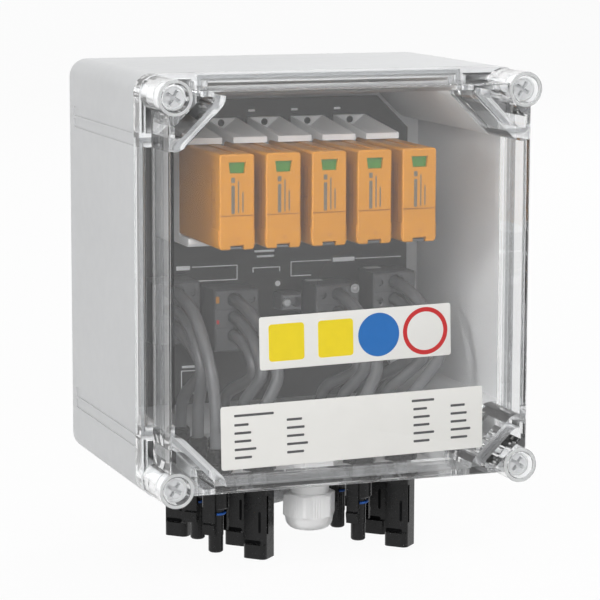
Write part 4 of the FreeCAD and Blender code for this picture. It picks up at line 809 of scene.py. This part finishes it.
class JUNCTIONBOX_OT_gland_nut(bpy.types.Operator):
    """Shape the dome nut of the cable gland, with fine ribs on its flats"""
    bl_idname = "junctionbox.gland_nut"
    bl_label = "Gland nut"

    def execute(self, context):
        """The radius is the lesser of a hexagon and a dome.

        The hexagon's radius is its flat's distance over the cosine of the angle off the flat. The
        ribs take a little off it by the square of a sine, and fade out over the dome.
        """
        sizes = context.scene.junction_sizes
        steps = 6 * sizes.nut_ribs * STEPS_A_RIB
        outside, inside = np.array(NUT_OUTSIDE), np.array(NUT_INSIDE)
        around = np.linspace(0, 2 * math.pi, steps, endpoint=False)
        on_flat = np.mod(around, math.pi / 3)
        off_flat = np.abs(on_flat - math.pi / 6)
        hexagon = np.minimum(NUT_FLAT / np.cos(off_flat), NUT_CORNER)
        grooves = 1 - np.sin(on_flat * 3 * sizes.nut_ribs) ** 2
        ribbed = np.clip((RIB_REACH - off_flat) / RIB_END, 0, 1)
        fade = np.interp(-outside[:, 1], RIB_LEVELS, RIB_SHARES)[:, None]
        outer = np.minimum(outside[:, :1], hexagon) - fade * sizes.rib_depth / MM * ribbed * grooves
        inner = np.repeat(inside[:, :1], steps, axis=1)
        heights = np.concatenate([outside[:, 1], inside[:, 1]])
        grid = turned(np.concatenate([outer, inner]), heights, GLAND_AT, steps, upright=True)
        nut = Surface()
        nut.add(grid[::-1], looped=True)
        thing = nut.piece("ribbed_gland_nut", finish("gland_white"), "gland_cap", "gland_white", 40.0)
        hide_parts("gland_nut")
        return {"FINISHED"}


# Marker tags on top of two blocks: middle and level, and each tag's depth in the box, its width
# across, its length to the front, its thickness, and its corner and edge
TOP_TAGS = ((27.6, -15.5), (59.8, -10.4))
TAG_DEPTH, TAG_SIZE, TAG_ROUND = -22.3, (8.4, 5.2, 0.3), (0.5, 0.15)
# Coloured chips at the edge of one block: middle, width and height
POLE_CHIPS = (("pole_chip_orange", "plug_orange", (-31.0, -20.3, 1.8, 3.4)),
              ("pole_chip_red", "flag_red", (-30.9, -31.6, 1.3, 2.0)))
CHIP_THICKNESS, CHIP_EDGE = 0.3, 0.12
# A small round-headed screw at the corner of one block: radii and depths from its foot to its top
HEAD_AT = (43.0, -17.9)
HEAD_RADII = (2.35, 2.35, 2.2, 1.9, 1.7, 1.65, 1.5, 1.1, 0.5, 0.02)
HEAD_DEPTHS = (-41.0, -41.5, -41.7, -41.7, -41.5, -41.5, -42.0, -42.4, -42.6, -42.65)


class JUNCTIONBOX_OT_block_tags(bpy.types.Operator):
    """Put marker tags, coloured chips and a small screw on the terminal blocks"""
    bl_idname = "junctionbox.block_tags"
    bl_label = "Marker tags"

    def execute(self, context):
        tags = Surface()
        width, length, thickness = TAG_SIZE
        for across, level in TOP_TAGS:
            flat = slab((across, TAG_DEPTH), width, length, 0, -thickness, *TAG_ROUND)
            tags.add(flat[..., [0, 2, 1]] * (1, 1, -1) + (0, 0, level))
        tags.piece("marker_tags", finish("tag_white"), "case", "gland_white")
        for name, look, (across, level, width, height) in POLE_CHIPS:
            chip = Surface()
            chip.add(slab((across, level), width, height, BLOCK_FACE, BLOCK_FACE - CHIP_THICKNESS,
                          PRINT_CORNER, CHIP_EDGE))
            chip.piece(name, finish(look), "case", "plug_orange")
        head = Surface()
        head.add(turned(HEAD_RADII, HEAD_DEPTHS, HEAD_AT, 40))
        head.piece("test_screw", finish("zinc_steel"), "case", "zinc_steel")
        return {"FINISHED"}


# Metal sleeves in the connectors: outer and inner radius, top and bottom
SLEEVES = {"pin": (1.85, 1.2, -126.9, -135.4), "socket": (3.4, 2.4, -125.4, -133.0)}
# Painted shade in the slot and the notch of the flat face of a socket, as dark slabs: how far right,
# level, width and height. The face is turned about the socket's own axis, and the slabs stand a hair
# proud of it.
SOCKET_SLOT_SHADES = ((2.5, -123.0, 1.3, 10.6), (-1.2, -133.2, 8.8, 1.9))
SOCKET_FACE, SLOT_THICKNESS = -4.5, 0.05
SOCKET_TURN = -45.0


class JUNCTIONBOX_OT_contacts(bpy.types.Operator):
    """Set the metal contacts inside the panel connectors, and painted shade in the slots of the
    sockets
    """
    bl_idname = "junctionbox.contacts"
    bl_label = "Contacts"

    def execute(self, context):
        contacts, slot_shades = Surface(), Surface()
        for column, kinds in PORT_COLUMNS:
            for depth, kind in zip(PORT_ROWS, kinds):
                outer, inner, top, bottom = SLEEVES[kind]
                sleeve = turned((outer, outer, inner, inner), (top, bottom, bottom, top),
                                (column, depth), 24, upright=True)
                contacts.add(sleeve[::-1], looped=True)
                # Painted shade: dark slabs where the socket's slot and notch lie in shade
                for right, level, width, height in SOCKET_SLOT_SHADES if kind == "socket" else ():
                    slot = slab((right, level), width, height, SOCKET_FACE,
                                SOCKET_FACE - SLOT_THICKNESS, corner=min(width, height) / 2)
                    slot_shades.add(tilted(slot, SOCKET_TURN, upright=True) + (column, depth, 0))
        contacts.piece("contact_sleeves", finish("contact_copper"), "case", "contact_copper")
        slot_shades.piece("socket_slots", finish("hollow_shade"), "case", "connector_black")
        return {"FINISHED"}


# Painted shade in the screw holes of the arrester bases, as dark discs: level, radius, back and front
SCREW_HOLE_SHADE = (67.2, 1.7, -19.35, -20.2)
# The ledge under the top wall: level, width, height, back, front, corner and edge
TOP_LEDGE = (95.9, 132.0, 2.2, -111.0, -114.8, 0.3, 0.3)


class JUNCTIONBOX_OT_case_parts(bpy.types.Operator):
    """Put painted shade, as dark discs, in the screw holes of the arrester bases, and a ledge under
    the top wall of the case
    """
    bl_idname = "junctionbox.case_parts"
    bl_label = "Screws and ledge"

    def execute(self, context):
        # Painted shade: a dark disc in the screw hole of each arrester base
        hole_shades = Surface()
        level, *sizes = SCREW_HOLE_SHADE
        for number in MODULES:
            hole_shades.add(disc((module_middle(number), level), *sizes, steps=32))
        hole_shades.piece("base_screws", finish("hollow_shade"), "case", "plate_dark")
        ledge = Surface()
        level, *sizes = TOP_LEDGE
        ledge.add(slab((0, level), *sizes))
        ledge.piece("top_ledge", finish("case_grey"), "case", "case_grey")
        return {"FINISHED"}


# Lamps in metres: place, width and the setting that holds the power
LAMPS = {
    "key_lamp": ((-0.95, -1.95, 0.9), 0.8, "key_power"),
    "side_lamp": ((-2.2, -0.7, 0.4), 0.35, "side_power"),
    "top_lamp": ((0.0, -0.3, 2.4), 1.0, "top_power"),
    "back_lamp": ((1.6, 1.6, 1.6), 1.0, "back_power"),
}
LAMP_AIM = (0, -0.06, 0)
# Camera: place and aim in metres, lens and sensor in millimetres, roll in degrees
CAMERA_PLACE, CAMERA_AIM = (-0.4491, -1.3139, 0.1866), (0.0012, -0.075, -0.0170)
CAMERA_LENS, CAMERA_SENSOR, CAMERA_ROLL = 161.27, 36, 0.15
# Floor in metres: its level, how far back the backdrop stands and how high it goes, the radius of
# the bend between them, and how far the floor reaches
FLOOR_LEVEL, BACKDROP, BACKDROP_TOP, BEND, FLOOR_REACH = -0.1425, 3.6, 6.0, 1.0, 10.0
FLOOR_PAINT = (0.7, 0.7, 0.7, 1)


class JUNCTIONBOX_OT_stage(bpy.types.Operator):
    """Set the floor, the lamps, the sky and the camera"""
    bl_idname = "junctionbox.stage"
    bl_label = "Stage"

    def execute(self, context):
        stage = context.scene.junction_stage
        scene = context.scene
        scene.view_settings.view_transform = "Standard"
        if stage.show_floor:
            self.make_floor(stage)
        self.make_sky(scene, stage)
        for name, (place, size, power) in LAMPS.items():
            self.make_lamp(name, place, size, getattr(stage, power))
        camera = bpy.data.objects.new("camera", bpy.data.cameras.new("camera"))
        scene.collection.objects.link(camera)
        camera.data.sensor_width = CAMERA_SENSOR
        camera.data.lens = CAMERA_LENS
        camera.data.clip_end = 50
        camera.location = CAMERA_PLACE
        aim = Vector(CAMERA_AIM) - camera.location
        camera.rotation_euler = aim.to_track_quat("-Z", "Y").to_euler()
        camera.rotation_euler.rotate_axis("Z", math.radians(CAMERA_ROLL))
        scene.camera = camera
        return {"FINISHED"}

    def seen(self, tree):
        """One for what the camera sees straight, in a mirror or through glass, else zero."""
        path = tree.nodes.new("ShaderNodeLightPath")
        total = path.outputs["Is Camera Ray"]
        for name in ("Is Glossy Ray", "Is Transmission Ray"):
            both = tree.nodes.new("ShaderNodeMath")
            both.operation = "MAXIMUM"
            tree.links.new(total, both.inputs[0])
            tree.links.new(path.outputs[name], both.inputs[1])
            total = both.outputs[0]
        return total

    def make_floor(self, stage):
        """A floor that rises into a backdrop.

        Seen from the side it is a straight run, a quarter circle and a straight run.
        """
        turn = np.linspace(0, math.pi / 2, 24)
        foot = BACKDROP - BEND
        depth = np.concatenate([[-FLOOR_REACH, foot], foot + BEND * np.sin(turn[1:]), [BACKDROP]])
        height = np.concatenate([[0, 0], BEND * (1 - np.cos(turn[1:])), [BACKDROP_TOP - FLOOR_LEVEL]])
        grid = np.empty((len(depth), 2, 3))
        grid[..., 0] = (-FLOOR_REACH, FLOOR_REACH)
        grid[..., 1] = depth[:, None]
        grid[..., 2] = height[:, None] + FLOOR_LEVEL
        mesh = bpy.data.meshes.new("pale_floor")
        index = np.arange(len(depth) - 1) * 2
        faces = np.stack([index, index + 1, index + 3, index + 2], axis=1)
        mesh.from_pydata(grid.reshape(-1, 3).tolist(), [], faces.tolist())
        mesh.polygons.foreach_set("use_smooth", np.ones(len(faces), dtype=bool))
        floor = bpy.data.objects.new("pale_floor", mesh)
        bpy.context.scene.collection.objects.link(floor)
        material = bpy.data.materials.new("Pale_floor")
        material.use_nodes = True
        tree = material.node_tree
        tree.nodes.clear()
        paint = tree.nodes.new("ShaderNodeBsdfDiffuse")
        paint.inputs["Color"].default_value = FLOOR_PAINT
        glow = tree.nodes.new("ShaderNodeEmission")
        scale = tree.nodes.new("ShaderNodeMath")
        scale.operation = "MULTIPLY"
        scale.inputs[1].default_value = stage.pale_floor
        tree.links.new(self.seen(tree), scale.inputs[0])
        mix = tree.nodes.new("ShaderNodeMixShader")
        tree.links.new(scale.outputs[0], mix.inputs["Fac"])
        tree.links.new(paint.outputs[0], mix.inputs[1])
        tree.links.new(glow.outputs[0], mix.inputs[2])
        output = tree.nodes.new("ShaderNodeOutputMaterial")
        tree.links.new(mix.outputs[0], output.inputs["Surface"])
        mesh.materials.append(material)

    def make_sky(self, scene, stage):
        """Even light from all round, which shows as white."""
        world = bpy.data.worlds.new("even_sky")
        scene.world = world
        world.use_nodes = True
        tree = world.node_tree
        back = tree.nodes["Background"]
        lift = tree.nodes.new("ShaderNodeMapRange")
        lift.inputs["To Min"].default_value = stage.sky
        lift.inputs["To Max"].default_value = 1.0
        back.inputs["Color"].default_value = (1, 1, 1, 1)
        tree.links.new(self.seen(tree), lift.inputs["Value"])
        tree.links.new(lift.outputs["Result"], back.inputs["Strength"])

    def make_lamp(self, name, place, size, power):
        """A large square lamp that faces the box."""
        lamp = bpy.data.objects.new(name, bpy.data.lights.new(name, "AREA"))
        lamp.data.energy = power
        lamp.data.size = size
        lamp.location = place
        aim = Vector(LAMP_AIM) - lamp.location
        lamp.rotation_euler = aim.to_track_quat("-Z", "Y").to_euler()
        bpy.context.scene.collection.objects.link(lamp)


STEPS = (JUNCTIONBOX_OT_finishes, JUNCTIONBOX_OT_lid, JUNCTIONBOX_OT_labels,
         JUNCTIONBOX_OT_plate_print, JUNCTIONBOX_OT_plug_marks, JUNCTIONBOX_OT_cables,
         JUNCTIONBOX_OT_gland_nut, JUNCTIONBOX_OT_block_tags, JUNCTIONBOX_OT_contacts,
         JUNCTIONBOX_OT_case_parts, JUNCTIONBOX_OT_stage)


class JUNCTIONBOX_PT_panel(bpy.types.Panel):
    """Steps and settings of the junction box"""
    bl_label = "Junction Box"
    bl_space_type = "VIEW_3D"
    bl_region_type = "UI"
    bl_category = "Junction Box"

    def draw(self, context):
        for step in STEPS:
            self.layout.operator(step.bl_idname)
        for group in (context.scene.junction_sizes, context.scene.junction_colours,
                      context.scene.junction_stage):
            box = self.layout.box()
            for name in group.__annotations__:
                box.prop(group, name)


CLASSES = (JunctionBoxColours, JunctionBoxSizes, JunctionBoxStage) + STEPS + (JUNCTIONBOX_PT_panel,)


def register():
    """Make the classes and settings known."""
    for cls in CLASSES:
        bpy.utils.register_class(cls)
    bpy.types.Scene.junction_colours = PointerProperty(type=JunctionBoxColours)
    bpy.types.Scene.junction_sizes = PointerProperty(type=JunctionBoxSizes)
    bpy.types.Scene.junction_stage = PointerProperty(type=JunctionBoxStage)


def unregister():
    """Take them out again."""
    for name in ("junction_colours", "junction_sizes", "junction_stage"):
        delattr(bpy.types.Scene, name)
    for cls in reversed(CLASSES):
        bpy.utils.unregister_class(cls)


def main():
    """Build the whole look."""
    register()
    for step in STEPS:
        group, name = step.bl_idname.split(".")
        getattr(getattr(bpy.ops, group), name)()


if __name__ == "__main__":
    main()
